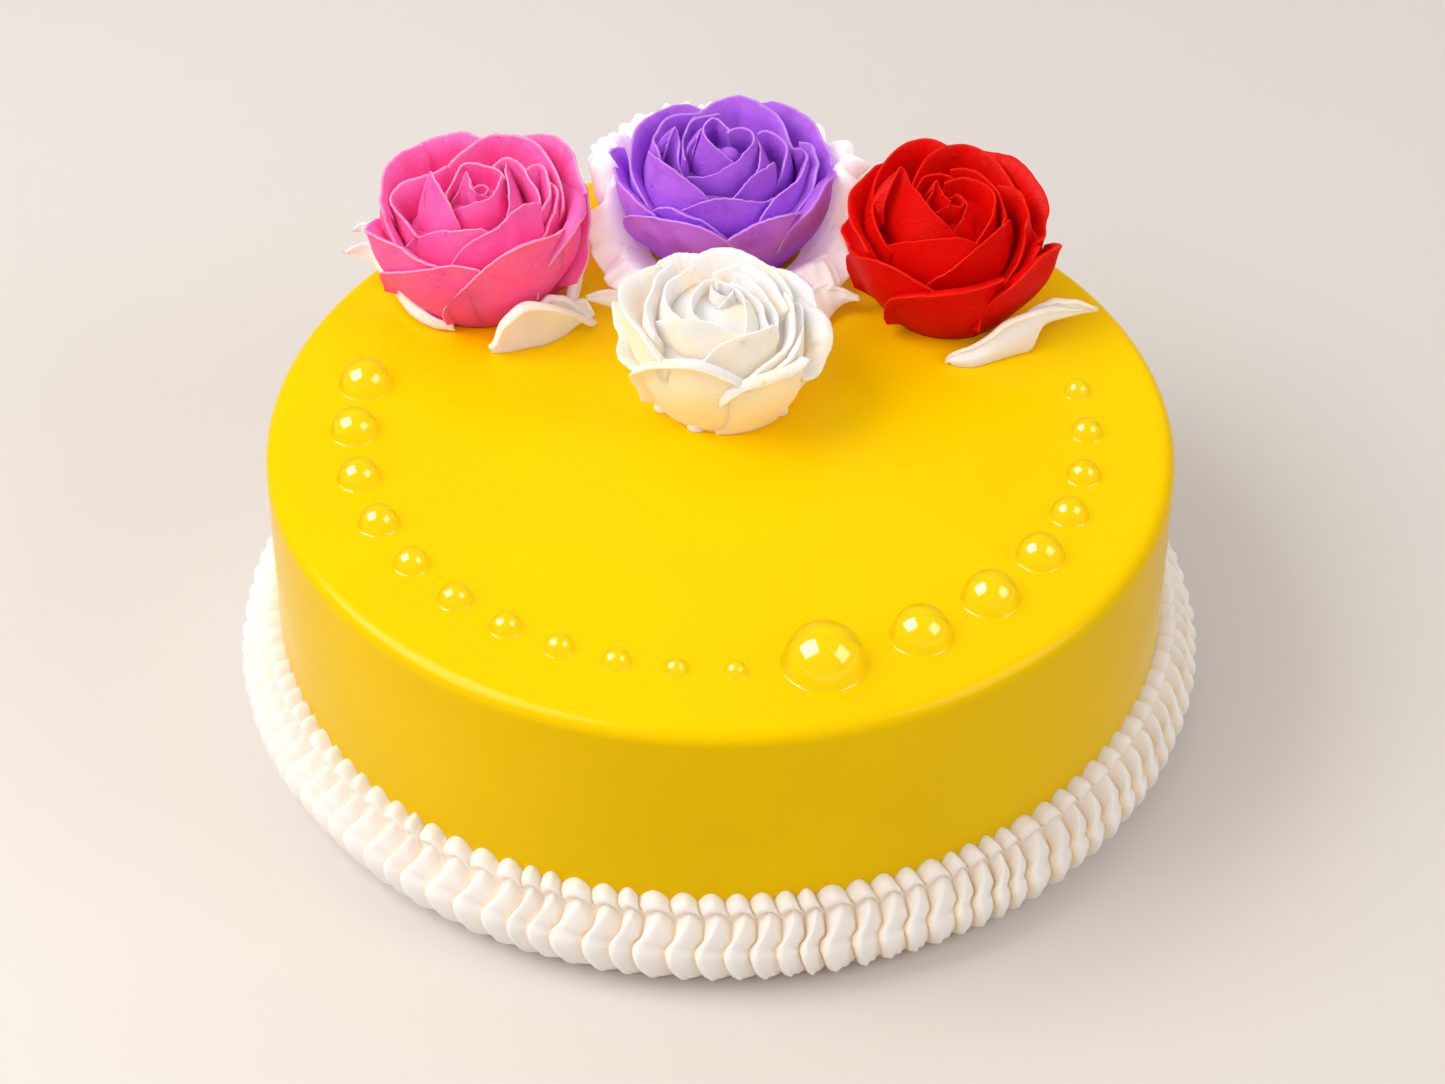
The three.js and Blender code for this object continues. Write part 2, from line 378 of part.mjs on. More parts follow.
// A closed thin solid from a sheet. place(across, along) gives the outer face, thickness(along) how
// far the inner face lies behind it, and the two lists hold where along each way the sheet is cut.
function sheetSolid(place, thickness, across, along) {
  const columns = across.length;
  const faceSize = columns * along.length;
  const step = 1e-3;
  const outer = [];
  const inner = [];
  for (const v of along) {
    for (const t of across) {
      const point = place(t, v);
      const alongT = place(t + step, v).sub(place(t - step, v));
      const alongV = place(t, v + step).sub(place(t, v - step));
      const normal = alongT.cross(alongV).normalize();
      outer.push(...point.toArray());
      inner.push(...point.addScaledVector(normal, -thickness(v)).toArray());
    }
  }
  const faces = [];
  for (let row = 0; row < along.length - 1; row++) {
    for (let column = 0; column < columns - 1; column++) {
      const a = row * columns + column;
      const b = a + 1;
      const c = b + columns;
      const d = a + columns;
      faces.push(a, b, c, a, c, d);
      faces.push(a + faceSize, c + faceSize, b + faceSize);
      faces.push(a + faceSize, d + faceSize, c + faceSize);
    }
  }
  const edge = rimLoop(columns, along.length);
  edge.forEach((a, i) => {
    const b = edge[(i + 1) % edge.length];
    faces.push(a, a + faceSize, b + faceSize, a, b + faceSize, b);
  });
  const geometry = new THREE.BufferGeometry();
  geometry.setAttribute("position", new THREE.Float32BufferAttribute([...outer, ...inner], 3));
  geometry.setIndex(faces);
  return geometry;
}

// The numbers of a grid's border points, in order round it.
function rimLoop(columns, rows) {
  const loop = [];
  for (let column = 0; column < columns; column++) loop.push(column);
  for (let row = 1; row < rows; row++) loop.push(row * columns + columns - 1);
  for (let column = columns - 2; column >= 0; column--) loop.push((rows - 1) * columns + column);
  for (let row = rows - 2; row > 0; row--) loop.push(row * columns);
  return loop;
}

// The radius of a layer's round body at a height: a quarter sine from root to rim, swollen by a half.
function layerRadius(layer, height) {
  const share = THREE.MathUtils.clamp((height - layer.low) / (layer.high - layer.low), 0, 1);
  const cone = mix(layer.root, layer.rim, Math.sin((Math.PI / 2) * share));
  return cone + layer.swell * Math.sin(Math.PI * share);
}

// Where along its rim a petal is cut: evenly to both sides of the rim's highest point.
function rimSteps(rim, steps) {
  const heights = rim.map((point) => point[1]);
  const peak = heights.indexOf(Math.max(...heights)) / (rim.length - 1);
  const inside = peak > 0 && peak < 1;
  const left = inside ? THREE.MathUtils.clamp(Math.round(steps * peak), 1, steps - 1) : steps * peak;
  const list = [0];
  for (let i = 1; i <= left; i++) list.push((peak * i) / left);
  for (let i = 1; i <= steps - left; i++) list.push(mix(peak, 1, i / (steps - left)));
  return list;
}

// One piped petal: lines run up from its root on its layer's round body to its rim, spread by the
// share of the way along the rim, and the body is stretched to pass through the rim. The petal is
// thin at its rim, which turns out over the lip's height, and waves a little.
function petal([layer, rim, curl = LAYERS[layer].curl], phase) {
  const body = LAYERS[layer];
  const { degree, lowest, leastDepth, rootWidth, lip } = PETAL;
  const points = rim.map(([azimuth, height, radius]) => [azimuth * degree, Math.max(height, lowest), radius]);
  const line = new THREE.CatmullRomCurve3(points.map((point) => new THREE.Vector3(...point)));
  line.curveType = "catmullrom";
  const stretches = points.map(([, height, radius]) => radius / layerRadius(body, height));
  const meanStretch = stretches.reduce((sum, next) => sum + next) / stretches.length;
  const azimuths = rim.map((point) => point[0]);
  const middle = (Math.max(...azimuths) + Math.min(...azimuths)) / 2;
  const spread = Math.max(...azimuths) - Math.min(...azimuths);
  const ripple = (i, u) => Math.sin(PETAL.waveTurns[i] * u + PETAL.phaseSteps[i] * phase + i);
  const place = (t, v) => {
    const edge = line.getPoint(THREE.MathUtils.clamp(t, 0, 1));
    const u = 2 * t - 1;
    const low = Math.max(0, Math.min(body.low, edge.y - leastDepth));
    const height = mix(low, edge.y, v);
    const turnedOut = Math.max(0, 1 - (edge.y - height) / lip);
    const stretch = mix(meanStretch, edge.z / layerRadius(body, edge.y), v);
    const wave = PETAL.wave * (ripple(0, u) + PETAL.quickWave * ripple(1, u)) * v * v;
    const radius = layerRadius(body, height) * stretch + wave - curl * (1 - turnedOut ** 2) * v;
    const turn = radians(mix(middle + (spread * rootWidth * u) / 2, edge.x / degree, v));
    return new THREE.Vector3(radius * Math.cos(turn), radius * Math.sin(turn), height);
  };
  const thickness = (v) => mix(body.thick, PETAL.rimThick, v ** PETAL.thinning);
  const steps = THREE.MathUtils.clamp(Math.round(line.getLength() / PETAL.step), 2, PETAL.mostSteps);
  return sheetSolid(place, thickness, rimSteps(rim, steps), body.along);
}

// A rose: a solid core with its petals joined to it.
function roseGeometry(rose) {
  const profile = ROSE_CORE.profile.map(([radius, z]) => new THREE.Vector2(radius, z));
  const core = new THREE.LatheGeometry(profile, ROSE_CORE.sides).rotateX(Math.PI / 2);
  const petals = rose.petals.map((row, i) => petal(row, 10 * rose.phase + i));
  return joined([core, ...petals]);
}

// The cake: a cylinder with a small chamfer at its foot and a rounded upper edge.
function cakeGeometry() {
  const { radius, height, edge, foot, sides, arcSteps } = CAKE;
  const profile = [
    new THREE.Vector2(0, 0),
    new THREE.Vector2(radius - foot, 0),
    new THREE.Vector2(radius, foot),
  ];
  for (let i = 0; i <= arcSteps; i++) {
    const turn = ((Math.PI / 2) * i) / arcSteps;
    profile.push(
      new THREE.Vector2(radius - edge + edge * Math.cos(turn), height - edge + edge * Math.sin(turn)),
    );
  }
  profile.push(new THREE.Vector2(0, height));
  return new THREE.LatheGeometry(profile, sides).rotateX(Math.PI / 2);
}

// The rope: its section carried round the cake, out at each ruffle's crest and in at each valley.
function ropeGeometry() {
  const { ruffles, wall, height, ruffleDepth, section } = ROPE;
  const ring = [
    ...section,
    { radius: wall, z: height, ruffled: 0 },
    { radius: wall, z: 0, ruffled: 0 },
  ];
  const stations = 2 * ruffles;
  const points = [];
  const faces = [];
  for (let i = 0; i < stations; i++) {
    const turn = (2 * Math.PI * i) / stations;
    const out = i % 2 === 0 ? ruffleDepth / 2 : -ruffleDepth / 2;
    const next = ((i + 1) % stations) * ring.length;
    ring.forEach(({ radius, z, ruffled }, j) => {
      const r = radius + out * ruffled;
      points.push(r * Math.cos(turn), r * Math.sin(turn), z);
      const a = i * ring.length + j;
      const b = i * ring.length + ((j + 1) % ring.length);
      const c = next + ((j + 1) % ring.length);
      const d = next + j;
      faces.push(a, d, c, a, c, b);
    });
  }
  const geometry = new THREE.BufferGeometry();
  geometry.setAttribute("position", new THREE.Float32BufferAttribute(points, 3));
  geometry.setIndex(faces);
  return geometry;
}

// How far the collar reaches and how high its rim is at an azimuth, in degrees.
function collarRim(azimuth) {
  const dent = COLLAR.dents.reduce(
    (sum, [at, depth, spread]) => sum + depth * Math.exp(-(((azimuth - at) / spread) ** 2)),
    0,
  );
  const after = Math.max(0, COLLAR.rim.findIndex(([at]) => at > azimuth));
  const [fromAt, from] = COLLAR.rim.at(after - 1);
  const [toAt, to] = COLLAR.rim.at(after);
  const share = ((azimuth - fromAt + 360) % 360) / ((toAt - fromAt + 360) % 360);
  return { reach: COLLAR.outside - dent, height: mix(from, to, share) };
}

// The collar: a bowl's wall from the rose's foot out to a ruffled rim, closed round its axis.
function collarGeometry() {
  const { inside, thick, bowl, lip, ruffles, ruffleDepth } = COLLAR;
  const stations = 3 * ruffles;
  const rows = [0, 0.5, 1];
  const points = [];
  const faces = [];
  const ringSize = 2 * rows.length;
  for (let i = 0; i < stations; i++) {
    const azimuth = (360 * i) / stations;
    const turn = radians(azimuth);
    const { reach, height } = collarRim(azimuth);
    const ruffle = ruffleDepth * Math.sin(ruffles * turn);
    const rise = (q) => (height - thick) * q ** bowl + ruffle * q * q;
    const under = rows.map((q) => [mix(inside, reach, q), rise(q)]);
    const over = rows.map((q) => [mix(inside, reach - lip, q), rise(q) + thick]);
    const ring = [...under, ...over.toReversed()];
    const next = ((i + 1) % stations) * ringSize;
    ring.forEach(([radius, z], j) => {
      points.push(radius * Math.cos(turn), radius * Math.sin(turn), z);
      const a = i * ringSize + j;
      const b = i * ringSize + ((j + 1) % ringSize);
      const c = next + ((j + 1) % ringSize);
      const d = next + j;
      faces.push(a, d, c, a, c, b);
    });
  }
  const geometry = new THREE.BufferGeometry();
  geometry.setAttribute("position", new THREE.Float32BufferAttribute(points, 3));
  geometry.setIndex(faces);
  return geometry;
}

// A point on the curve through root, middle and tip.
function onCurve(root, middle, tip, s) {
  const bend = middle.clone().multiplyScalar(2).addScaledVector(root, -0.5).addScaledVector(tip, -0.5);
  return new THREE.Vector3()
    .addScaledVector(root, (1 - s) ** 2)
    .addScaledVector(bend, 2 * s * (1 - s))
    .addScaledVector(tip, s * s);
}

// A leaf: a thin sheet that swells between its two edges and waves along them.
function leafGeometry({ root, low, high, tip }) {
  const [a, b, c, d] = [root, low, high, tip].map((p) => new THREE.Vector3(...p));
  const away = c.clone().sub(b).cross(d.clone().sub(a)).normalize();
  const place = (t, v) => {
    const s = mix(0.04, 0.96, v);
    const point = onCurve(a, b, d, s).lerp(onCurve(a, c, d, s), t);
    const swell = LEAF.bulge * Math.sin(Math.PI * t) * Math.sin(Math.PI * s);
    const wave = LEAF.wave * Math.sin(2 * Math.PI * LEAF.waves * s) * (2 * t - 1);
    point.addScaledVector(away, swell + wave);
    point.z = Math.max(point.z, 0);
    return point;
  };
  return sheetSolid(place, () => LEAF.thick, LEAF.across, LEAF.along);
}

// A drop: a dome that is a little fuller near its foot.
function dropGeometry(radius) {
  const profile = [new THREE.Vector2(0, 0), new THREE.Vector2(radius * DROP.foot, 0)];
  for (let i = 0; i < DROP.rings; i++) {
    const turn = (Math.PI / 2) * mix(DROP.start, 1, i / DROP.rings);
    profile.push(new THREE.Vector2(radius * Math.cos(turn), radius * DROP.height * Math.sin(turn)));
  }
  profile.push(new THREE.Vector2(0, radius * DROP.height));
  return new THREE.LatheGeometry(profile, DROP.sides).rotateX(Math.PI / 2);
}

// A named mesh with its own material, at a place.
function piece(name, geometry, look, place = [0, 0, 0]) {
  const mesh = new THREE.Mesh(geometry, new THREE.MeshStandardMaterial(look));
  mesh.name = name;
  mesh.position.set(...place);
  return mesh;
}

const cake = new THREE.Group();
cake.add(piece("cake_body", cakeGeometry(), GLAZE));
cake.add(piece("rope_border", ropeGeometry(), CREAM));
cake.add(piece("rose_collar", collarGeometry(), CREAM, [...ROSES.purple.at, TOP]));
for (const [name, rose] of Object.entries(ROSES)) {
  const look = { color: rose.color, roughness: 0.45, metalness: 0 };
  cake.add(piece("rose_" + name, roseGeometry(rose), look, [...rose.at, TOP]));
}
for (const [name, leaf] of Object.entries(LEAVES)) {
  cake.add(piece("leaf_" + name, leafGeometry(leaf), CREAM, [0, 0, TOP]));
}
DROPS.forEach(([azimuth, radius], i) => {
  const turn = radians(azimuth);
  const place = [DROP_RING * Math.cos(turn), DROP_RING * Math.sin(turn), TOP];
  cake.add(piece("drop_" + String(i + 1).padStart(2, "0"), dropGeometry(radius), JELLY, place));
});

export default cake;
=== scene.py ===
"""A round glazed cake with a piped rope of cream round its foot, four piped roses, a ruffled collar,
pale leaves and clear jelly drops. Shapes are worked out in millimetres in the cake's own frame,
+Z up with the origin on its axis where it stands, and are made metres when they become meshes."""

import math
from collections import namedtuple

import bpy
import numpy as np
from bpy.props import FloatProperty, FloatVectorProperty, IntProperty, PointerProperty
from mathutils import Matrix, Vector


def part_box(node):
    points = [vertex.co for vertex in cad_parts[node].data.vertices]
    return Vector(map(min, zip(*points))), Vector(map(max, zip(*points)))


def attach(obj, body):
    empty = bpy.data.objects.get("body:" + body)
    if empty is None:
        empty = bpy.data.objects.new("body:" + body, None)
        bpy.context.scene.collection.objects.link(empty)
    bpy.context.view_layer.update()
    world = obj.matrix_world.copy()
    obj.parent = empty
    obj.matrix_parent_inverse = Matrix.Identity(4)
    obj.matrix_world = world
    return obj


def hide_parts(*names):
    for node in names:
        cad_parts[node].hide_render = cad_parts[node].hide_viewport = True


bl_info = {
    "name": "Flower Cake",
    "version": (1, 0, 0),
    "blender": (4, 5, 0),
    "location": "3D View > Sidebar > Cake",
    "description": "Builds a glazed cake with piped roses, leaves, a rope border and jelly drops",
    "category": "Add Mesh",
}

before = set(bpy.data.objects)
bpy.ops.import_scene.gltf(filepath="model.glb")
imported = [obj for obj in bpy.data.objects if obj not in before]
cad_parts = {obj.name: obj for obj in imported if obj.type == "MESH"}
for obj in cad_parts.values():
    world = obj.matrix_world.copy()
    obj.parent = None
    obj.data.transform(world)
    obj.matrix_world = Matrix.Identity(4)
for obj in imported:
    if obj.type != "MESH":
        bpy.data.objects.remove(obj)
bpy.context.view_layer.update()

MM = 0.001
# The range of a random phase in radians
FULL_TURN = 6.28
CAKE_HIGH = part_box("cake_body")[1]
ROPE_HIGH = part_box("rope_border")[1]

# A layer of petals is a round body about the rose's axis: its radius at the root and at the rim, how
# far it swells between them and the heights of root and rim. Its petals are thick at their roots, and
# curl is how far their rims turn out.
LAYERS = {
    "outer": dict(root=15, rim=25, swell=2, low=0, high=27, thick=5, curl=0.9),
    "middle": dict(root=13, rim=15.5, swell=4.5, low=3, high=32, thick=4.5, curl=0.7),
    "inner": dict(root=11, rim=10, swell=4, low=8, high=33, thick=3.6, curl=0.5),
    "bud": dict(root=8, rim=6, swell=3.5, low=12, high=33, thick=2.6, curl=0.3),
    "heart": dict(root=4.5, rim=2.6, swell=0.8, low=17, high=29, thick=1.6, curl=0.1),
}
# What all petals share: the grid and how it crowds towards the rim, the least height of a petal, the
# thin rim and its mark's band, the depth over which the petal wedges out, its root's width as a share
# of its rim's, the lip and how a strong curl hangs, and the waves and the nibbles of its rim
PETAL = dict(
    columns=65, rows=27, crowd=1.6, path_steps=12, least_high=2, rim_thick=0.4, rim_band=0.015, wedge=5,
    root_width=0.86, lip=5, lip_rise=0.35, hang=0.9, wave=0.3, quick_wave=0.6, wave_turns=(4.5, 9.0),
    phase_steps=(2.4, 4.1), nibble=0.14, nibble_turns=(41, 67, 97), stroke_shift=40,
)

# Turned bodies in a rose, as radius and height: the blobs at its foot as shares of their size, the
# knob in its middle and the core under its petals. The last is how much a layer's petals show the
# painted light and shade of the outer petals on their outer faces.
FOOT_PROFILE = [(0, 0), (0.9, 0), (1, 0.25), (0.88, 0.6), (0.55, 0.95), (0, 1.1)]
KNOB_PROFILE = [(0, 18), (2, 18), (2.7, 24), (2.9, 27), (2.2, 28.8), (1.1, 29.6), (0, 29.8)]
CORE_PROFILE = [(0, -0.2), (12.4, -0.2), (15.6, 6), (17.5, 13), (14.5, 19), (10, 23), (5, 25), (0, 26)]
OUTER_LIGHT_SHARE = {"outer": 1.0, "middle": 0.35}

# Each petal: its layer and points of its rim from left to right, as azimuth in degrees, height and
# radius. Where more numbers follow, they are a stronger curl and how far its foot stands out.
HEART = [
    ("heart", [(50, 24, 2.6), (110, 27, 2.6), (190, 28.4, 2.6), (270, 28, 2.7), (335, 25.5, 3.2)]),
    ("heart", [(235, 25, 3.4), (300, 27.6, 2.9), (370, 28.2, 2.6), (440, 27.6, 2.4), (510, 25, 2.4)]),
]

PINK_PETALS = [
    *HEART,
    ("outer", [(196, 3.8, 22.5), (207, 12.3, 24), (229, 18, 24.5), (248, 22.1, 24.5), (262, 23.7, 24),
        (275, 22.4, 23.5), (284, 18.9, 23)]),
    ("outer", [(251, 3.2, 18.6), (251, 8.3, 21), (265, 17.2, 24), (275, 22.7, 25), (285, 26.7, 25.3),
        (296, 28.8, 25.3), (308, 28.3, 25), (320, 26.6, 24.5), (330, 25.8, 24)]),
    ("outer", [(309, 10.5, 23.6), (311, 16.5, 23.2), (315, 21.7, 25.3), (326, 24.7, 25.5),
        (339, 27.1, 25.6), (362, 24, 25.1), (377, 23, 25.1), (388, 22, 24.9), (396, 21, 23.4)], 2.2),
    ("outer", [(340, 8.1, 24.5), (343, 13.1, 26), (353, 16.9, 26.2), (363, 20, 25.9), (374, 22, 25.9),
        (382, 23, 26)]),
    ("outer", [(12, 23.5, 25.3), (21, 24.5, 25.7), (30, 26, 26.2), (37, 27.5, 26.7), (46, 29, 26.3),
        (55, 28.5, 26.1), (63, 27.5, 26.1), (69, 26.5, 25.2)]),
    ("middle", [(-9, 20.2, 19.5), (-4, 24, 20), (9, 26, 19.6), (23, 28, 19.4), (38, 29, 19.9),
        (50, 29.5, 20.8), (63, 29.5, 21.6), (73, 29.5, 21.2), (83, 29, 21.2), (90, 28.5, 19.7),
        (99, 28.5, 16.2), (112, 28, 13.7), (131, 27, 11.3)]),
    ("outer", [(85, 25, 22.9), (91, 26, 23.7), (96, 26.5, 24.7), (101, 26.5, 25.9), (108, 26, 26.6),
        (117, 25.5, 26.3), (124, 25, 26.2), (130, 24.5, 25.8), (137, 24, 24.5)]),
    ("outer", [(123, 26, 24.7), (132, 27, 24.1), (139, 27.3, 24.2), (146, 27.5, 23.8), (155, 27.5, 23),
        (166, 27, 22.1), (180, 26.7, 21.6), (200, 28.1, 22.3), (204, 25.1, 22.3), (209, 22.9, 22),
        (214, 21.3, 21.5)]),
    ("outer", [(189, 22.5, 20.2), (193, 23.5, 22.4), (199, 24.3, 24.7), (204, 24.3, 26.8), (211, 24.5, 26),
        (218, 24, 24.6), (226, 24.1, 24), (235, 23.3, 23.6), (242, 22.7, 23.2), (250, 21.8, 22.6)], 1),
    ("middle", [(213, 17.1, 20.5), (214, 19.2, 19), (219, 22, 17.5), (230, 24.4, 16.8), (244, 27, 16.5),
        (257, 28.1, 16.3), (269, 28.6, 16.2), (281, 27.8, 16), (293, 24.9, 16)]),
    ("middle", [(256, 20, 20), (260, 23.1, 19.5), (267, 26, 19), (276, 27.7, 18), (286, 28.5, 17),
        (296, 29.6, 16), (304, 31.5, 16.4), (320, 31, 15.7), (334, 29.5, 16.8), (335, 26.3, 16.6),
        (336, 22.8, 15.6), (337, 19.2, 14.4)]),
    ("inner", [(190, 15.7, 12.7), (189, 19.5, 12.9), (187, 22.5, 12.7), (184, 25.8, 12.3),
        (181, 29.2, 11.5), (178, 32.7, 10.3), (204, 32, 9.1), (233, 31.6, 10.3), (247, 29.3, 11.2),
        (255, 26.5, 11.8), (260, 23.4, 12.2)]),
    ("middle", [(127, 28, 11.4), (141, 28.5, 11.4), (153, 28.5, 12.3), (164, 28.5, 14.2), (169, 28, 16.6),
        (173, 27, 18.2), (179, 26, 19.2), (192, 25.9, 18.8), (203, 25.3, 18.3), (213, 24.4, 17.8),
        (222, 23, 17.3)]),
    ("bud", [(16, 29.5, 7.4), (38, 30.5, 6.6), (69, 31, 5.6), (95, 31, 6.1), (116, 30.5, 7),
        (141, 30, 6.1), (182, 29, 5.9), (218, 28.5, 8), (226, 26.5, 9)]),
    ("inner", [(348, 25, 15.2), (358, 28, 14.1), (376, 29.5, 12.7), (394, 30.8, 11.6), (408, 31.5, 10.5),
        (418, 30.5, 9), (423, 29.5, 6.6)]),
    ("bud", [(298, 23.7, 11.8), (311, 26.8, 11.8), (319, 28.4, 10.5), (328, 30.5, 9.2), (358, 30.5, 7.4),
        (387, 30.5, 8.1), (411, 30, 10.2)]),
    ("bud", [(212, 23, 7), (206, 25, 6.1), (200, 27, 4.6), (195, 29.7, 3.2), (190, 33, 2.4),
        (231, 31.5, 2.3), (267, 31, 4.2), (291, 29, 3.4), (318, 27.8, 4)]),
    ("bud", [(234, 25.4, 9.8), (241, 27.8, 9), (258, 29.1, 8.6), (278, 30, 7.8), (301, 29.9, 6.6),
        (323, 30.5, 6.2), (354, 30.5, 5.7), (379, 30.5, 6.6)]),
    ("middle", [(337, 24, 16.3), (341, 26.9, 16.8), (358, 27, 16.6), (370, 28, 17), (383, 28.7, 17.3),
        (392, 29, 17.1), (394, 29, 15.5), (392, 29, 13.2), (391, 28.5, 11.2)]),
    ("middle", [(323, 21.8, 18.5), (333, 23.7, 18.8), (346, 25, 18.8), (359, 26, 18.6), (368, 27, 18),
        (377, 27.5, 17.1)]),
]

PURPLE_PETALS = [
    ("outer", [(207, 8.7, 23.5), (206, 12.9, 25.5), (210, 17.3, 26), (226, 21.2, 26), (238, 22.5, 25.8),
        (252, 22.8, 25.5), (262, 21.6, 25), (269, 19.3, 24.3), (276, 15.9, 23.5)]),
    ("outer", [(266, 13.5, 22.5), (270, 17.9, 24.3), (277, 20.8, 25), (284, 22.8, 25.5), (292, 23.9, 25.5),
        (302, 24.2, 25.5), (315, 21.7, 25), (324, 18, 24.5)]),
    ("outer", [(301, 12.7, 23.9), (303, 17.3, 25), (308, 20.4, 25.8), (316, 22.8, 26), (325, 25.1, 26.2),
        (333, 26.9, 26.6), (351, 23.5, 26.1), (362, 22, 25)], 1.5),
    ("outer", [(353, 21, 24.9), (365, 22.5, 24.4), (382, 23.5, 24.8), (395, 24.5, 25.5), (409, 24.5, 26.2),
        (419, 24, 26.7), (427, 23.5, 27), (434, 23, 25.8)]),
    ("outer", [(6, 24, 16.3), (19, 26, 16.1), (36, 27, 17.2), (52, 27.5, 18.6), (66, 27.5, 20.1),
        (76, 27, 21.8), (83, 27, 22.2), (91, 27, 21.1), (100, 27, 19.7), (110, 26.5, 17.9),
        (122, 26, 15.8)]),
    ("outer", [(103, 23, 22.6), (110, 23.5, 25.2), (120, 24, 25.6), (134, 24.8, 24.4), (150, 25.5, 23.4),
        (168, 25.5, 22.8), (185, 25.5, 22.5), (200, 24.6, 22.7), (211, 22.8, 22.8), (222, 20, 22.6)]),
    ("outer", [(163, 22.5, 24.4), (166, 23, 26.4), (175, 23.5, 27.2), (185, 23.5, 26.6), (197, 23.5, 25.9),
        (210, 24, 25.8), (220, 23.1, 25.4), (229, 21.1, 24.5)]),
    ("middle", [(106, 26, 17), (119, 27, 17.4), (133, 28, 17.5), (149, 28.5, 17), (168, 28.8, 16.6),
        (196, 30.8, 17), (205, 29.2, 17), (216, 27.8, 16.8)]),
    ("inner", [(190, 22.1, 14.6), (187, 25.7, 13.8), (183, 28.9, 13), (179, 31.3, 12.1), (176, 32.6, 11.4),
        (182, 29.5, 11.2), (203, 28.3, 11.8), (216, 26, 12.5), (226, 24.2, 13)]),
    ("middle", [(186, 9.2, 17.1), (187, 14.1, 18.9), (187, 19.2, 19.4), (188, 24.1, 18.9),
        (191, 28.8, 18.1), (213, 31, 17.8), (229, 30.1, 17.5), (242, 28.3, 17.2), (252, 26.2, 17),
        (260, 23.3, 17)]),
    ("bud", [(189, 20.4, 9.9), (189, 24.8, 9.9), (190, 27.3, 9), (192, 28.4, 7.4), (193, 30.8, 6.3),
        (175, 32.6, 5.5), (224, 32, 5.6), (253, 30.9, 6.2), (274, 29.5, 7), (291, 27.9, 8)]),
    ("bud", [(212, 22.6, 12), (226, 25.4, 11.6), (244, 26.2, 11), (258, 27.4, 10.6), (272, 29.1, 10),
        (289, 30.1, 9.2), (309, 31.2, 8), (346, 31, 6.4), (370, 31.5, 5.6), (386, 32, 4.1), (401, 32, 2.2),
        (423, 31.5, 0.6)]),
    ("bud", [(15, 30.5, 1.5), (85, 31.5, 2.9), (106, 32, 4.8), (124, 32.5, 5.7), (139, 32, 6.4),
        (160, 31, 5.8)]),
    ("inner", [(96, 28, 13.5), (111, 29, 11.8), (127, 29.7, 11), (145, 29.8, 10.7), (168, 29.5, 10.3),
        (190, 28.5, 10.1), (218, 29.2, 11.5)]),
    ("inner", [(271, 21.4, 15.5), (277, 24, 15), (287, 26.4, 14.6), (301, 28.7, 14), (325, 28.9, 13.4),
        (327, 25.2, 13.7), (328, 21, 13.1), (329, 17.2, 12.2)]),
    ("inner", [(319, 20.8, 15.6), (326, 24.2, 15), (336, 27.3, 14.6), (353, 28.5, 14.1), (368, 29, 13.3),
        (378, 29.5, 11.8), (386, 29.5, 10), (389, 29, 7.9)]),
    ("bud", [(284, 23, 13.5), (293, 25.5, 13), (305, 27.8, 12.3), (317, 29.7, 11.2), (342, 29.5, 8.2),
        (367, 30, 6.7), (392, 30, 6)]),
    ("middle", [(290, 18.3, 21), (295, 22.2, 20.8), (304, 25, 20.5), (315, 26, 20), (329, 26.5, 19.5),
        (345, 26.6, 19), (363, 25.5, 18.9), (366, 26.5, 17.6), (366, 26.5, 15.5)]),
    ("outer", [(313, 19.8, 23.4), (322, 22.3, 23), (332, 24.2, 22.6), (344, 25.6, 22), (362, 24.5, 21.5),
        (370, 25.5, 20.8), (374, 26, 19.1), (376, 26, 17.1)]),
    ("middle", [(228, 16.4, 21), (236, 20.6, 20), (246, 23.4, 19.4), (258, 25.7, 19), (273, 26.4, 18.7),
        (287, 25.4, 18.5), (299, 23.7, 18.3), (313, 23.2, 18)]),
    ("outer", [(220, 19.2, 23.5), (228, 22.3, 23), (237, 23.7, 22.6), (246, 23.1, 22.2), (256, 21.8, 22),
        (264, 19.2, 21.5), (271, 16.4, 21)]),
]

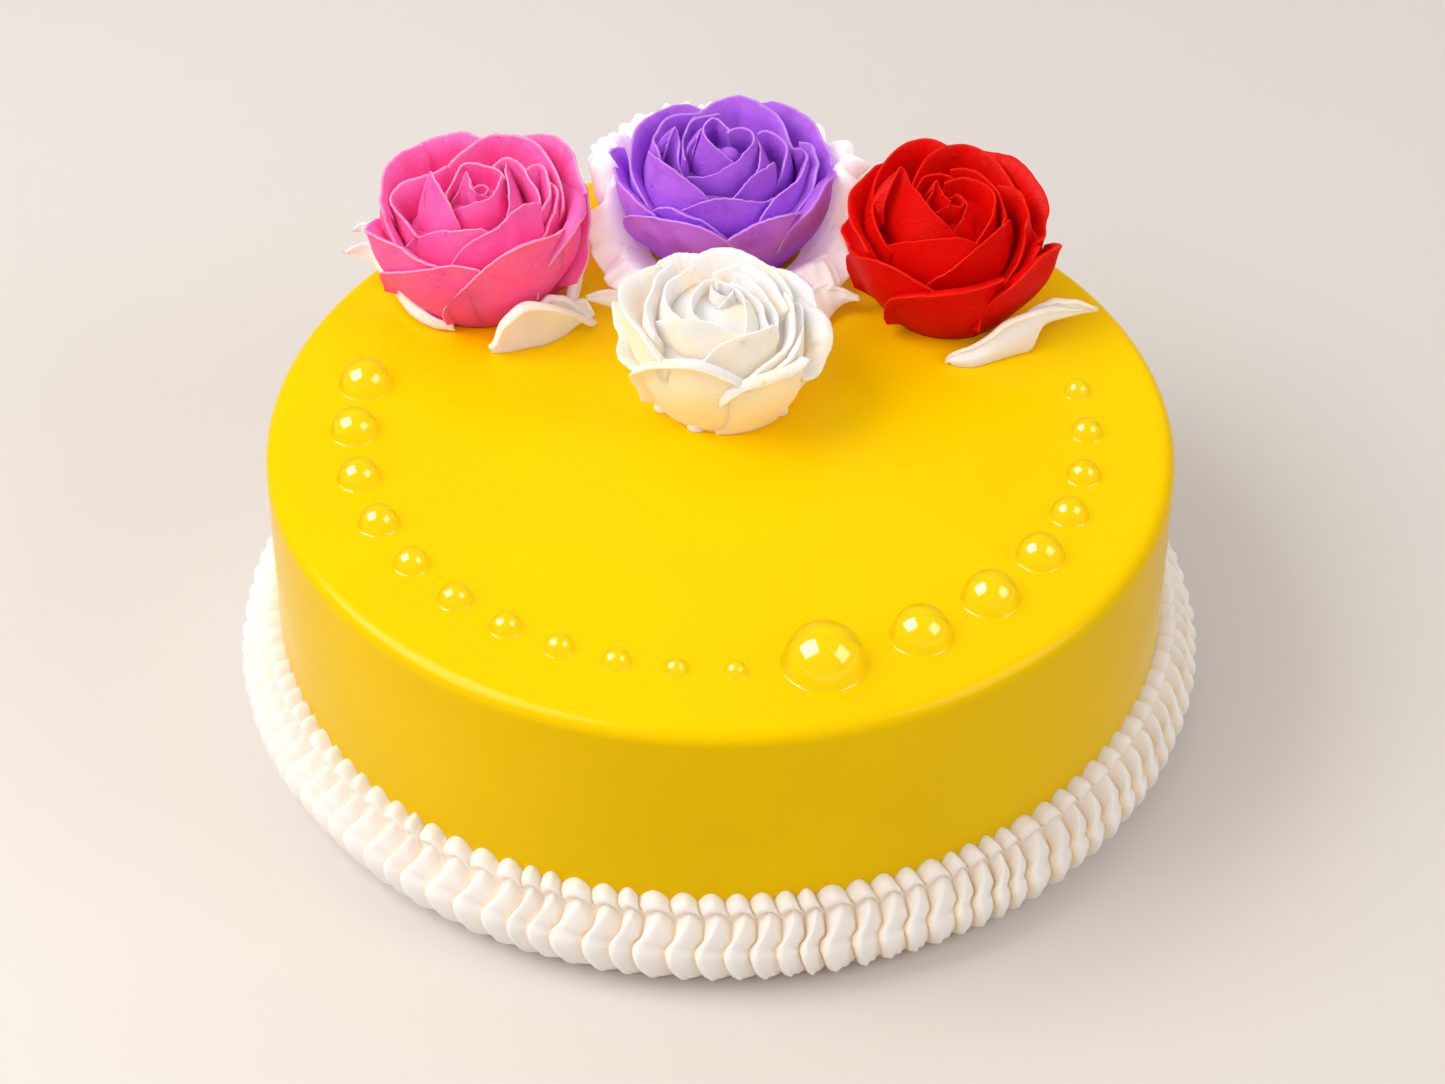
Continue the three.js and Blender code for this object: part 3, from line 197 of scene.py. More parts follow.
WHITE_PETALS = [
    *HEART,
    ("outer", [(211, 4.5, 20.5), (209, 9.5, 21.8), (210, 13.9, 23.5), (221, 18.4, 23.8), (231, 21.5, 23.7),
        (242, 23.8, 23.7), (253, 25.1, 24), (263, 24.1, 24), (271, 22.4, 24), (279, 19.9, 23.5),
        (288, 16.1, 22.5)], 2.6, 0.8),
    ("outer", [(262, 5.5, 18.5), (266, 8.9, 18), (272, 16.3, 23.5), (280, 19.3, 24.5), (289, 20.8, 25),
        (300, 21.2, 25), (310, 21.1, 25.2), (318, 22, 25.4)], 2.8, 2),
    ("outer", [(316, 16.2, 24.8), (324, 17.1, 25.8), (333, 18.2, 25.8), (341, 19.7, 25.5),
        (345, 21.5, 24.9), (355, 22, 23.4), (363, 22, 21.4), (369, 22, 19.7), (378, 21.5, 18.6)], 2),
    ("outer", [(10, 20.5, 21.8), (18, 22, 21.4), (27, 23, 20.7), (36, 23.5, 19.9), (47, 23.5, 19.2),
        (56, 23.5, 18.3), (63, 23, 16)]),
    ("middle", [(4, 24, 15.3), (24, 24.5, 15.5), (41, 25, 15.9), (55, 25, 16.8), (67, 25, 18.2),
        (77, 25, 19.1), (87, 25, 19.4), (97, 24.5, 19.8), (105, 24, 19.4), (114, 23.5, 18.4)]),
    ("outer", [(101, 22, 19.6), (106, 23, 20.9), (113, 23.3, 21.8), (121, 23.3, 22), (129, 23, 22.3),
        (137, 22.5, 21.7)]),
    ("outer", [(133, 23.5, 21.3), (142, 24, 21.8), (151, 24, 22.7), (160, 24, 23.4), (170, 24, 23.1),
        (183, 24.5, 22.6), (192, 24.3, 21.9), (204, 24, 21.2), (217, 23.6, 21.6), (230, 23, 22.5),
        (240, 22, 23.2)]),
    ("outer", [(163, 19, 24.9), (173, 19, 24.5), (181, 18.5, 24), (189, 18, 23.3), (193, 16, 23.9),
        (198, 14.4, 23.5), (206, 13.7, 22.6), (215, 13.2, 21.6)]),
    ("middle", [(284, 16.7, 20.8), (293, 19.9, 20.6), (304, 21.5, 20.3), (314, 22.9, 20), (326, 24, 18.7),
        (341, 25, 16.9), (357, 25.5, 15.4), (370, 25.5, 14.3)]),
    ("middle", [(301, 20.2, 22.8), (310, 21.9, 22.5), (319, 24.2, 22), (342, 22, 18.8), (356, 22.5, 17.7),
        (370, 22.5, 17)]),
    ("middle", [(252, 19.1, 18.6), (259, 22.3, 18), (267, 25.1, 17.3), (277, 26.4, 16.6), (288, 27.1, 16),
        (302, 26.4, 15.3), (318, 26, 15.1), (320, 23, 15.8), (321, 18.9, 15.1), (322, 14.6, 13.3)]),
    ("middle", [(194, 16.2, 16.8), (196, 20.2, 16.7), (200, 22.9, 15.4), (214, 25.4, 14.2),
        (231, 27.7, 13.5), (248, 28.4, 13), (264, 27.6, 12.9), (277, 26.1, 13), (290, 23.8, 13.2),
        (299, 21, 13.5)]),
    ("middle", [(129, 25, 17.5), (145, 25.8, 16.6), (163, 26.3, 16.2), (182, 26.3, 16.5), (198, 26, 17.7),
        (209, 25, 18.4), (218, 24, 18.7)]),
    ("inner", [(121, 27, 11.8), (142, 27.5, 11.7), (163, 27.8, 12), (184, 27.8, 12.8), (201, 27.3, 13.1),
        (213, 26.5, 13.1), (225, 25.5, 12.7)]),
    ("bud", [(120, 28.5, 3.9), (169, 29, 4.4), (199, 29, 6.6), (215, 28.5, 8.9), (230, 27.8, 10.2),
        (243, 27, 10.7)]),
    ("bud", [(286, 25.5, 15.9), (293, 27, 13.3), (303, 28, 9.8), (317, 28.6, 6.4), (338, 29, 3.4),
        (386, 29.3, 1.1), (507, 29.3, 1.5)]),
    ("inner", [(313, 25.3, 15.5), (321, 26.5, 12.2), (334, 27.3, 9.1), (353, 27.8, 6.2), (381, 28, 4.3),
        (418, 28, 3.5)]),
    ("inner", [(322, 25, 15.6), (337, 26, 12.4), (358, 26.5, 9.9), (383, 27, 8.4), (410, 27, 8),
        (434, 27, 8)]),
    ("middle", [(-11, 24.7, 14.5), (9, 25.5, 13.2), (27, 26, 12.7), (47, 26, 13), (63, 26, 13.1),
        (75, 26, 12.8), (87, 26, 11.2), (106, 26.3, 8.5)]),
]

RED_PETALS = [
    *HEART,
    ("outer", [(222, 2.4, 19), (225, 6.9, 21.7), (230, 12.3, 24), (237, 15.9, 25), (249, 18.4, 25.2),
        (259, 19.6, 25.2), (269, 20.8, 25.2), (279, 21.2, 25.2), (289, 21.2, 24.7), (298, 21, 24)], 1.6),
    ("outer", [(188, 5.4, 22.5), (191, 11.6, 24), (195, 16.9, 24.6), (214, 21.9, 24.9), (227, 23.3, 24.9),
        (238, 23, 24.7), (246, 22, 24.5), (253, 20.5, 24), (261, 18.1, 23)]),
    ("outer", [(167, 20, 22.9), (175, 20.5, 23.8), (185, 20.5, 25.3), (196, 20.5, 25.3), (200, 18.9, 24),
        (213, 20.5, 23.7), (223, 20.3, 23)]),
    ("outer", [(127, 25, 23.1), (135, 25.7, 23.7), (145, 26, 23.5), (158, 26.3, 23.1), (171, 26.3, 23.5),
        (181, 26, 23.7), (194, 25.5, 23.8), (207, 25, 24.4), (217, 24, 25.1)]),
    ("middle", [(85, 27, 19.8), (92, 28, 21.9), (100, 28.5, 23.5), (108, 28.5, 23.9), (117, 28.3, 23.5),
        (128, 28.2, 22.1), (142, 28, 20.3), (160, 27.7, 19.1), (177, 27.5, 18.8), (192, 26.6, 18.8),
        (205, 25.3, 18.8), (215, 23.6, 18.8), (222, 22, 18.3)]),
    ("middle", [(29, 24, 17), (45, 26, 18.4), (58, 27.3, 20.1), (68, 28, 21.1), (78, 28.5, 21.8),
        (85, 28.8, 21.2), (94, 29, 19.7), (105, 29, 16.9), (120, 29, 13.8), (139, 28.5, 11.5),
        (162, 28, 9.9)]),
    ("outer", [(331, 24.5, 22.5), (358, 21.5, 21.4), (366, 23, 21.9), (374, 25, 21.8), (386, 26.5, 21.9),
        (399, 27.5, 22.3), (410, 28, 22.5), (420, 28, 21.8), (429, 27.5, 21.3)]),
    ("middle", [(300, 16, 21), (309, 19.2, 20.3), (318, 22, 19.8), (328, 24.3, 19), (335, 27.7, 18.3),
        (360, 26.3, 16.9), (372, 27.5, 15.8), (381, 28, 13.9), (390, 28, 11.6)]),
    ("outer", [(299, 16.3, 22.6), (309, 18.7, 22.6), (319, 20.2, 22.4), (327, 21.4, 22), (333, 23, 21.6),
        (344, 22.5, 19.6), (349, 23, 18.1), (350, 22.5, 16.5)]),
    ("outer", [(286, 6.4, 21.9), (288, 10.5, 21.2), (291, 15.9, 23.8), (299, 19.1, 24.7), (307, 21.4, 25),
        (316, 23.5, 25.5), (323, 24.4, 26.2), (333, 23.8, 27), (347, 20, 23.6), (348, 19, 21.1)]),
    ("middle", [(251, 17.4, 20), (258, 20.2, 19.7), (267, 22.5, 19.3), (276, 25.1, 18.8), (287, 27.1, 18),
        (298, 28.5, 17), (310, 29.3, 16), (328, 28, 14.6), (329, 24.4, 15.1), (330, 20, 14.7),
        (331, 15.5, 13.6)]),
    ("middle", [(179, 10.3, 20.5), (193, 17, 19.5), (210, 21.5, 18.7), (224, 24.8, 18), (238, 27, 17.3),
        (254, 28.8, 17), (269, 29.2, 16.8), (282, 28, 16.7), (296, 24.8, 16.2)]),
    ("inner", [(190, 23.3, 15.8), (187, 27.1, 15.3), (181, 30.6, 14.1), (173, 32.9, 13.1),
        (163, 34.4, 12.2), (174, 32.5, 10.4), (209, 32.7, 9.7), (236, 31.6, 10.2), (255, 30, 11.2),
        (271, 26.8, 12)]),
    ("bud", [(212, 27, 9), (205, 28.8, 7), (198, 30.6, 5.5), (190, 31.9, 4.4), (180, 33, 3.5),
        (200, 31.3, 3.2), (234, 30.7, 3.6), (259, 30.2, 4.2)]),
    ("bud", [(265, 24.3, 12), (270, 26.9, 10.6), (278, 28.8, 9.2), (295, 29, 6.1), (332, 28.7, 3.4),
        (378, 28.5, 2), (434, 28.5, 1.4)]),
    ("bud", [(229, 27, 7.7), (235, 28.3, 6.1), (252, 29, 4.6), (282, 29, 4.1), (314, 28.8, 3.5)]),
    ("inner", [(290, 23.4, 13), (302, 26, 12.3), (316, 28.1, 11.5), (338, 28.6, 10.1), (365, 29, 9.1),
        (386, 29.5, 8.2), (405, 30, 7.3), (426, 30, 6.9), (447, 30, 5.5), (481, 30, 4.1)]),
    ("bud", [(89, 29.7, 6.3), (109, 30.3, 7.4), (131, 30.5, 7.8), (152, 30.5, 8.4), (173, 30, 9),
        (196, 29.5, 9.1), (216, 29, 9.6)]),
    ("inner", [(309, 26, 15), (321, 29, 14), (357, 27.5, 11.4), (377, 28.5, 10.6), (398, 29, 10.2),
        (417, 29.5, 10.3), (435, 29.5, 10.6), (452, 29.5, 10.2)]),
]

# Each rose: its place on the cake, the number that its waves and random draws start from, its petals
# and, in two roses, a knob in its middle (x, y) or blobs at its foot (x, y, size)
ROSES = {
    "pink": dict(at=(-55.7, 49.5), phase=1, petals=PINK_PETALS),
    "purple": dict(at=(0.7, 67.4), phase=2, petals=PURPLE_PETALS, knob=(0.6, -3.8)),
    "white": dict(at=(0.2, 12.5), phase=3, petals=WHITE_PETALS, feet=[
        (-5.4, -13.0, 2.3), (-1.0, -12.2, 2.0), (-13.0, -6.7, 2.0), (12.7, -7.5, 2.0),
        (-7.9, -10.2, 1.6), (4.3, -11.8, 1.6),
    ]),
    "red": dict(at=(52, 46.9), phase=4, petals=RED_PETALS),
}

# The ruffled collar that the purple rose stands in: its rim as azimuth, height and radius, low in
# front and high at both sides, how its wall spreads and rolls, lobes of uneven width and depth that
# grow towards the rim, and small ripples over them
COLLAR = dict(
    rim=((10, 21, 33), (32, 18, 33), (46, 17, 33), (75, 18, 33), (105, 19, 33), (118, 20.5, 33),
         (140, 19, 33), (155, 20, 33), (168, 22, 32), (183, 25, 30), (196, 17, 31.5), (206, 10, 33),
         (217, 7, 33.3), (230, 5.5, 32.5), (250, 5, 28), (270, 5, 27), (290, 5, 28), (306, 6, 31),
         (316, 8.5, 33.5), (328, 7.5, 33.3), (340, 14, 31.5), (350, 22, 30), (357, 24.5, 30)),
    columns=640, rows=40, seed=5, inside=18, spread=0.75, above_rim=1, least_high=0.6, thick=1.6,
    rim_thick=0.8, crest=0.68, lip=5, roll=0.5, lobes=23, uneven=0.45, sizes=(0.6, 1.25), level=0.62,
    lobe_depth=4.6, lobe_reach=3.2, sharp=0.6, swirl=7, sway=2, sways=3, slant=9,
    ripple=0.7, ripple_reach=0.5, ripples=61, ripple_sway=2, ripple_sways=7,
)

# Each leaf is one or two folds. A fold stands between two curves of points (x, y, z) over the cake's
# top that run from its root to its tip, its foot and its crest. The two numbers are the radius of
# the lip that it rolls over its crest and how far it swells forward.
LEAVES = {
    "pink_front": [
        ([(-51.7, 25.1, 0.3), (-49.9, 25.2, 0.2), (-47.2, 25.8, 0.2), (-43.2, 27.2, 0.2),
          (-39.2, 28.7, 0.2), (-35.2, 32.3, 0.2), (-31.9, 35.2, 1.2), (-28.7, 36.9, 0.2)],
         [(-52.2, 23.7, 3.9), (-50.7, 24.2, 6.1), (-48.8, 24.6, 11.1), (-45.2, 26.1, 14.1),
          (-40.7, 28.6, 12.5), (-35.9, 31.5, 8.7), (-31.8, 34.1, 4.5), (-28.6, 36.1, 1.3)], 1.3, -0.9),
        ([(-42.3, 32.7, 0.8), (-39.4, 34.2, 0.2), (-36.3, 35.8, 0.2), (-32.7, 37, 0.2), (-29, 37.2, 0.2)],
         [(-41.3, 32.1, 9.7), (-38.4, 33.5, 10.7), (-35.6, 35.1, 9.1), (-32.2, 37.5, 4.6),
          (-28.7, 37.8, 0.2)], 0.7, 0.6),
    ],
    "pink_right": [
        ([(-34, 57, 1), (-32.5, 52, 1), (-34.1, 38.1, 0.2), (-31.6, 38.2, 0.2), (-29.2, 38.6, 0.2)],
         [(-33, 57, 4), (-31.5, 50, 8), (-34.5, 39.8, 5.6), (-31.3, 39.8, 4.9),
          (-29.2, 39.3, 1.3)], 0.5, 0.5),
    ],
    "pink_left": [
        ([(-60.4, 32.9, 0.5), (-65.7, 34, 0.6), (-70.8, 38.4, 0.8), (-74.6, 45.1, 1.2), (-77.7, 49.7, 2),
          (-79.4, 52.3, 3.5), (-82.1, 53.1, 6), (-84.5, 50.8, 8.5), (-86.9, 49.3, 10)],
         [(-61, 32.6, 3), (-66.1, 35, 4), (-70.2, 38.8, 4.5), (-72.7, 43.1, 5.5), (-75, 47.6, 7),
          (-77, 50.9, 8.5), (-80.3, 53.9, 10), (-84.1, 52.4, 10.5), (-86.8, 49.6, 10.2)], 0.5, 0.8),
    ],
    "pink_rear_left": [
        ([(-75.6, 74, 3), (-78.5, 67, 6), (-81.3, 60, 8.8), (-83.4, 58.5, 9.5), (-85.4, 57.7, 10)],
         [(-75.5, 74.4, 7), (-78.2, 66, 9.5), (-80.8, 60.6, 11.2), (-83.3, 60.3, 11),
          (-85.3, 58.1, 10.3)], 0.4, 0.6),
    ],
    "white_left": [
        ([(-21.7, 37.2, 1), (-23.6, 38.8, 1.5), (-25.4, 40.2, 2), (-27.7, 40.4, 2.8), (-30, 40.5, 3.6),
          (-30.9, 41.1, 4)],
         [(-20.4, 38.7, 5), (-22.7, 41.4, 5.5), (-25, 42.7, 5.5), (-27.3, 42.7, 5.2), (-29.6, 42.2, 4.6),
          (-30.9, 41.4, 4.2)], 0.4, 0.9),
    ],
    "white_right": [
        ([(22.8, 34, 1), (24.2, 36.6, 1.3), (25.2, 38.5, 1.6), (26.6, 40.3, 2.2), (28.4, 41.2, 3),
          (30.4, 41.2, 3.7), (31.6, 41.6, 4)],
         [(19.2, 42.2, 5), (21.1, 44, 5.4), (23.1, 45.2, 5.5), (25.9, 44.7, 5.3), (28.4, 43.8, 5),
          (30.4, 42.7, 4.6), (31.6, 41.9, 4.2)], 0.4, 0.9),
    ],
    "red_front": [
        ([(50.6, 23.1, 0.5), (52.8, 21.6, 0.2), (57, 21.3, 0.2), (61.9, 23.6, 0.2), (66.2, 25.7, 0.2),
          (70.2, 27.6, 0.6), (72.8, 33, 3), (78, 35.8, 3.5), (85.5, 37.6, 4.5)],
         [(50.6, 23.6, 0.9), (52.5, 24.1, 2.7), (56.3, 25, 3.8), (59.9, 25.9, 6.3), (63.1, 26.8, 8.8),
          (66.9, 27.7, 10.6), (71.4, 28.8, 11), (77.9, 35.3, 7), (85.5, 38.2, 5.2)], 0.6, 1.6),
        ([(68.2, 29.4, 4.3), (71.8, 30.2, 6), (75.8, 35.2, 4.5), (79.9, 36.1, 5), (85.5, 37.3, 5)],
         [(68.6, 31.6, 8), (71.5, 33, 9.5), (75, 34.9, 9.5), (80.2, 36.8, 8), (85.5, 37.4, 5.5)], 0.5, 0.7),
    ],
    "pink_rear": [
        ([(-62, 73.5, 1), (-50, 77, 6), (-53.3, 83.4, 21.5)],
         [(-62, 73.5, 1), (-61, 80, 13), (-53.3, 83.4, 21.5)], 0.4, 1.6),
    ],
    "red_rear": [
        ([(38, 73, 1), (45, 75, 8), (48, 81, 22)],
         [(38, 73, 1), (38, 77.5, 15), (48, 81, 22)], 0.4, 1.6),
    ],
}
# What all folds share: the grid, the thickness, the share of the width that climbs before the lip, how
# far the lip turns in radians, small waves along the fold, the mark of its lip, and the side that is
# its front, towards the photograph's viewer
LEAF = dict(columns=41, rows=71, thick=0.8, rim_thick=0.35, flat=0.7, lip_turn=2.7, wave=0.25, waves=3.5,
            rim_from=0.93, rim_band=0.07, viewer=(0, -0.77, 0.64))

# The clear drops along the upper edge: azimuth and radius of each, on one ring
DROPS = [
    (170.1, 6.0), (182, 5.4), (193.7, 4.7), (205.2, 4.4), (216.1, 3.8), (226.7, 3.7),
    (236.7, 3.4), (245.8, 3.2), (254.8, 3.1), (263.7, 2.6), (272.4, 2.4),
    (285.5, 8.9), (301.2, 6.6), (314.7, 6.2), (327.3, 5.2), (338.3, 4.1), (348.1, 3.7),
    (358.8, 3.5), (9.2, 3.0),
]
# A drop's profile as shares of its radius, from its foot to its top: a short skirt and a dome
DROP_PROFILE = [(0, -0.05), (0.985, -0.05), (1, 0.01), (0.97, 0.08), (0.93, 0.26), (0.85, 0.5),
                (0.7, 0.72), (0.48, 0.89), (0.24, 0.985), (0, 1.02)]

# The rope's section from its tucked-in foot up over the wide bead to the narrow one at the cake's
# wall: radius, height, how strongly the ruffles show, how far they lean and where their crests lie,
# both in ruffles, and how far the section sinks between two ruffles
ROPE_SECTION = [
    (100.6, -0.01, 0, 0, 0.24, 0), (101.9, 0.1, 0.5, 0.48, 0.24, 0), (103.2, 1.4, 0.7, 0.44, 0.24, 0),
    (105.5, 3.8, 0.9, 0.33, 0.24, 0), (107.2, 6.6, 1, 0.2, 0.24, 0), (108.4, 9.6, 1, 0.08, 0.24, 0),
    (108.5, 12.4, 1, 0, 0.24, 0.2), (107.4, 14.7, 0.9, 0.04, 0.26, 1.2), (106.3, 16.6, 0.9, 0.14, 0.32, 2.4),
    (104.5, 19, 0.9, 0.3, 0.4, 3.8), (102.2, 20.3, 0.4, 0.34, 0.45, 3.6), (103.3, 21.4, 0.6, 0.26, 0.5, 2.5),
    (102.7, 22.6, 0.6, 0.16, 0.5, 2), (101.3, 23.2, 0.3, 0.1, 0.5, 2.4), (99.8, 23.3, 0, 0.06, 0.5, 2.6),
    (99.6, 22.6, 0, 0.04, 0.5, 2.6), (99.6, 0.6, 0, 0, 0.5, 0),
]
# The rope's ruffles: how many, how deep and how uneven, the grid, the slow fall to their tails, teeth
# and creases. Foot, waist, valley and top are bands of the section: their height and their reach.
ROPE = dict(ruffles=116, depth=2.3, uneven=0.26, seed=7, columns_each=14, crowd=1.5, section_steps=3,
            level=0.7, tail=0.2, tail_power=1.4, teeth=3, tooth=0.3, foot=(5, 3), waist=(14.2, 0.7),
            waist_depth=0.8, valley=(18.5, 2), flare=1.4, point=0.8, top=(20.6, 1.3), tilt=1.2,
            crease=0.14, top_crease=0.4)

# The glazed cake: its grid, the chamfer at its foot and the depth of its glaze's waves
CAKE = dict(sides=256, wall_steps=20, edge_steps=12, top_steps=30, chamfer=0.8, chamfer_high=1,
            side_wave=0.1, top_wave=0.06)

# Sides round the small turned bodies, and steps along the profiles that are smoothed
SIDES = dict(core=48, foot=20, knob=32, drop=48)
STEPS = dict(foot=16, knob=24, drop=37)

# How each rose's cream looks: the colour of its rims, a painted highlight where light catches the thin
# edges, which also lightens the fine strokes; its deep colour, for patches and for painted shade towards
# the roots and in the pits; the colour of its outer petals, painted with the light and shade that fall
# there, lighter on the purple, warmed by the glaze's yellow on the pink and white and darker on the red;
# how far red, green and blue light travel in it, and its shader's values, of which the glow is painted
# light. The pink, purple and red of the cream itself are settings.
WHITE_CREAM = (0.78, 0.76, 0.755)
FINISHES = {
    "pink": dict(rim=(1.0, 0.34, 0.58), deep=(1.0, 0.08, 0.36), outer_light_and_shade=(1.0, 0.14, 0.38),
                 radius=(1, 0.35, 0.5), roughness=0.5, subsurface=0.35, shine=0.08, glow=0.0),
    "purple": dict(rim=(0.6, 0.27, 0.9), deep=(0.32, 0.06, 0.58), outer_light_and_shade=(0.58, 0.19, 1.0),
                   radius=(0.7, 0.4, 1), roughness=0.5, subsurface=0.35, shine=0.08, glow=0.0),
    "white": dict(rim=(0.89, 0.87, 0.865), deep=(1.0, 0.8, 0.52), outer_light_and_shade=(0.84, 0.79, 0.63),
                  radius=(1, 0.9, 0.8), roughness=0.5, subsurface=0.5, shine=0.08, glow=0.1),
    "red": dict(rim=(0.85, 0.014, 0.005), deep=(0.62, 0.002, 0.001), outer_light_and_shade=(0.7, 0.004, 0.002),
                radius=(1, 0.1, 0.05), roughness=0.4, subsurface=0.08, shine=0.03, glow=0.0),
}

# The camera of the photograph, fitted to the cake: place in millimetres, turns in radians and
# focal length in pixels of an image 1445 pixels wide
CAMERA = dict(place=(0, -652.79, 590.08), yaw=8.95941e-04, pitch=0.705386, roll=7.58071e-03,
              focal=3790.5, image_width=1445, sensor=36)

# The soft lights: the direction that each comes from, its distance and side in metres and its power in
# watts. With glossy off a light doesn't show in the gloss, and with diffuse off it shows there only.
KEY = (-0.64, -0.1, 0.75)
SECOND = (0.78, -0.29, 0.61)
SOFTBOXES = {
    "key_softbox": dict(direction=KEY, distance=1.3, size=0.8, watts=9),
    "second_softbox": dict(direction=SECOND, distance=1.5, size=0.6, watts=4, glossy=False),
    "fill_softbox": dict(direction=(-0.5, -0.65, 0.57), distance=1.5, size=1.2, watts=4.5, glossy=False),
    "rear_softbox": dict(direction=(-0.15, 0.6, 0.79), distance=1.5, size=1.2, watts=2.8, glossy=False),
    "window": dict(direction=KEY, distance=1.2, size=1.0, watts=47, diffuse=False),
    "second_window": dict(direction=SECOND, distance=1.2, size=0.8, watts=14, diffuse=False),
}
# The studio round the cake: its colour and how bright it is as light and as seen in the gloss
STUDIO = dict(colour=(1, 0.98, 0.96), light=0.55, gloss=0.16)

Shape = namedtuple("Shape", "points quads triangles edge uv outer")


def mix(a, b, t):
    """The value a share t of the way from a to b."""
    return a + (b - a) * t


def polar(radius, degrees, z):
    """Points at a radius, an azimuth in degrees and a height."""
    turn = np.radians(degrees)
    return np.stack(np.broadcast_arrays(radius * np.cos(turn), radius * np.sin(turn), z), -1)


def grid_quads(rows, columns, closed=False):
    """Corner numbers of the quads of a grid that is numbered row by row, closed across or open."""
    across = columns if closed else columns - 1
    row, column = np.meshgrid(np.arange(rows - 1), np.arange(across), indexing="ij")
    a = row * columns + column
    b = row * columns + (column + 1) % columns
    return np.stack([a, b, b + columns, a + columns], -1).reshape(-1, 4)


def sheet_solid(outer, thickness, edge, uv, layer=0.0):
    """A closed thin solid. The outer face is the grid, the inner face lies thickness behind it along
    the normal, which is the cross product of the grid's two directions, and a strip joins the rims.
    The layer's number marks its outer face only."""
    rows, columns = outer.shape[:2]
    normal = np.cross(np.gradient(outer, axis=1), np.gradient(outer, axis=0))
    normal /= np.maximum(np.linalg.norm(normal, axis=-1, keepdims=True), 1e-9)
    inner = outer - normal * thickness[..., None]
    count = rows * columns
    face = grid_quads(rows, columns)
    rim = np.concatenate([
        np.arange(columns),
        np.arange(1, rows) * columns + columns - 1,
        (rows - 1) * columns + np.arange(columns - 2, -1, -1),
        np.arange(rows - 2, 0, -1) * columns,
    ])
    after = np.roll(rim, -1)
    strip = np.stack([rim, rim + count, after + count, after], -1)
    return Shape(
        np.concatenate([outer.reshape(-1, 3), inner.reshape(-1, 3)]),
        np.concatenate([face, face[:, ::-1] + count, strip]),
        np.zeros((0, 3), int),
        np.tile(edge.ravel(), 2),
        np.tile(uv.reshape(-1, 2), (2, 1)),
        np.repeat([layer, 0], count),
    )


def lathe(profile, sides, at=(0, 0, 0)):
    """A closed turned body: the profile's points (radius, z) carried round the axis. Its first and
    last points are on the axis and become the two poles."""
    profile = np.array(profile, float)
    turn = np.linspace(0, 2 * np.pi, sides, endpoint=False)
    ring = profile[1:-1]
    points = np.stack([
        ring[:, 0, None] * np.cos(turn),
        ring[:, 0, None] * np.sin(turn),
        np.repeat(ring[:, 1, None], sides, 1),
    ], -1).reshape(-1, 3)
    poles = np.array([(0, 0, profile[0, 1]), (0, 0, profile[-1, 1])])
    low, high = len(points), len(points) + 1
    here = np.arange(sides)
    after = (here + 1) % sides
    last = (len(ring) - 1) * sides
    triangles = np.concatenate([
        np.stack([after, here, np.full(sides, low)], -1),
        np.stack([last + here, last + after, np.full(sides, high)], -1),
    ])
    count = len(points) + 2
    return Shape(
        np.concatenate([points, poles]) + np.array(at, float),
        grid_quads(len(ring), sides, closed=True),
        triangles,
        np.zeros(count),
        np.zeros((count, 2)),
        np.zeros(count),
    )


def ring_shape(grid, edge):
    """A closed ring: the grid's rows follow its section and its columns go round the axis, and both
    close on themselves."""
    rows, columns = grid.shape[:2]
    here = np.arange(columns)
    after = (here + 1) % columns
    last = (rows - 1) * columns
    seam = np.stack([last + here, last + after, after, here], -1)
    return Shape(
        grid.reshape(-1, 3),
        np.concatenate([grid_quads(rows, columns, closed=True), seam]),
        np.zeros((0, 3), int),
        edge.ravel(),
        np.zeros((rows * columns, 2)),
        np.zeros(rows * columns),
    )


def joined(shapes):
    """One shape of several, with their corners numbered on."""
    starts = np.cumsum([0] + [len(shape.points) for shape in shapes[:-1]])
    moved = [
        shape._replace(quads=shape.quads + start, triangles=shape.triangles + start)
        for shape, start in zip(shapes, starts)
    ]
    return Shape(*(np.concatenate(parts) for parts in zip(*moved)))


def smooth_path(points, steps):
    """A Catmull-Rom curve through all the points and back to the first, with the given steps between
    two points: p1 + t(p2-p0)/2 + t2(p0-5p1/2+2p2-p3/2) + t3(-p0/2+3p1/2-3p2/2+p3/2)."""
    p1 = np.array(points, float)
    p0, p2, p3 = np.roll(p1, 1, 0), np.roll(p1, -1, 0), np.roll(p1, -2, 0)
    t = (np.arange(steps) / steps)[None, :, None]
    p0, p1, p2, p3 = (p[:, None] for p in (p0, p1, p2, p3))
    curve = p1 + t * (p2 - p0) / 2 + t**2 * (p0 - 2.5 * p1 + 2 * p2 - 0.5 * p3)
    curve = curve + t**3 * (-0.5 * p0 + 1.5 * p1 - 1.5 * p2 + 0.5 * p3)
    return curve.reshape(-1, p1.shape[-1])


def layer_radius(layer, height):
    """The radius of a layer's round body at a height: a quarter sine from the root's radius to the
    rim's plus a half sine that swells it between them."""
    share = np.clip((height - layer["low"]) / (layer["high"] - layer["low"]), 0, 1)
    cone = mix(layer["root"], layer["rim"], np.sin(np.pi / 2 * share))
    return cone + layer["swell"] * np.sin(np.pi * share)


def smooth_weights(count, samples):
    """How much each of some points adds to each sample of the Catmull-Rom curve through them, which
    is carried on in a straight line at both ends."""
    t = np.linspace(0, count - 1, samples)
    start = np.minimum(t.astype(int), count - 2)
    t = (t - start)[:, None]
    basis = np.concatenate([
        -0.5 * t + t**2 - 0.5 * t**3,
        1 - 2.5 * t**2 + 1.5 * t**3,
        0.5 * t + 2 * t**2 - 1.5 * t**3,
        -0.5 * t**2 + 0.5 * t**3,
    ], 1)
    point = np.eye(count)
    point = np.vstack([2 * point[0] - point[1], point, 2 * point[-1] - point[-2]])
    return sum(basis[:, [i]] * point[start + i] for i in range(4))


def even_profile(profile, count):
    """A smooth profile through a few points of radius and height."""
    curve = smooth_weights(len(profile), count) @ np.array(profile, float)
    curve[[0, -1], 0] = 0
    return curve


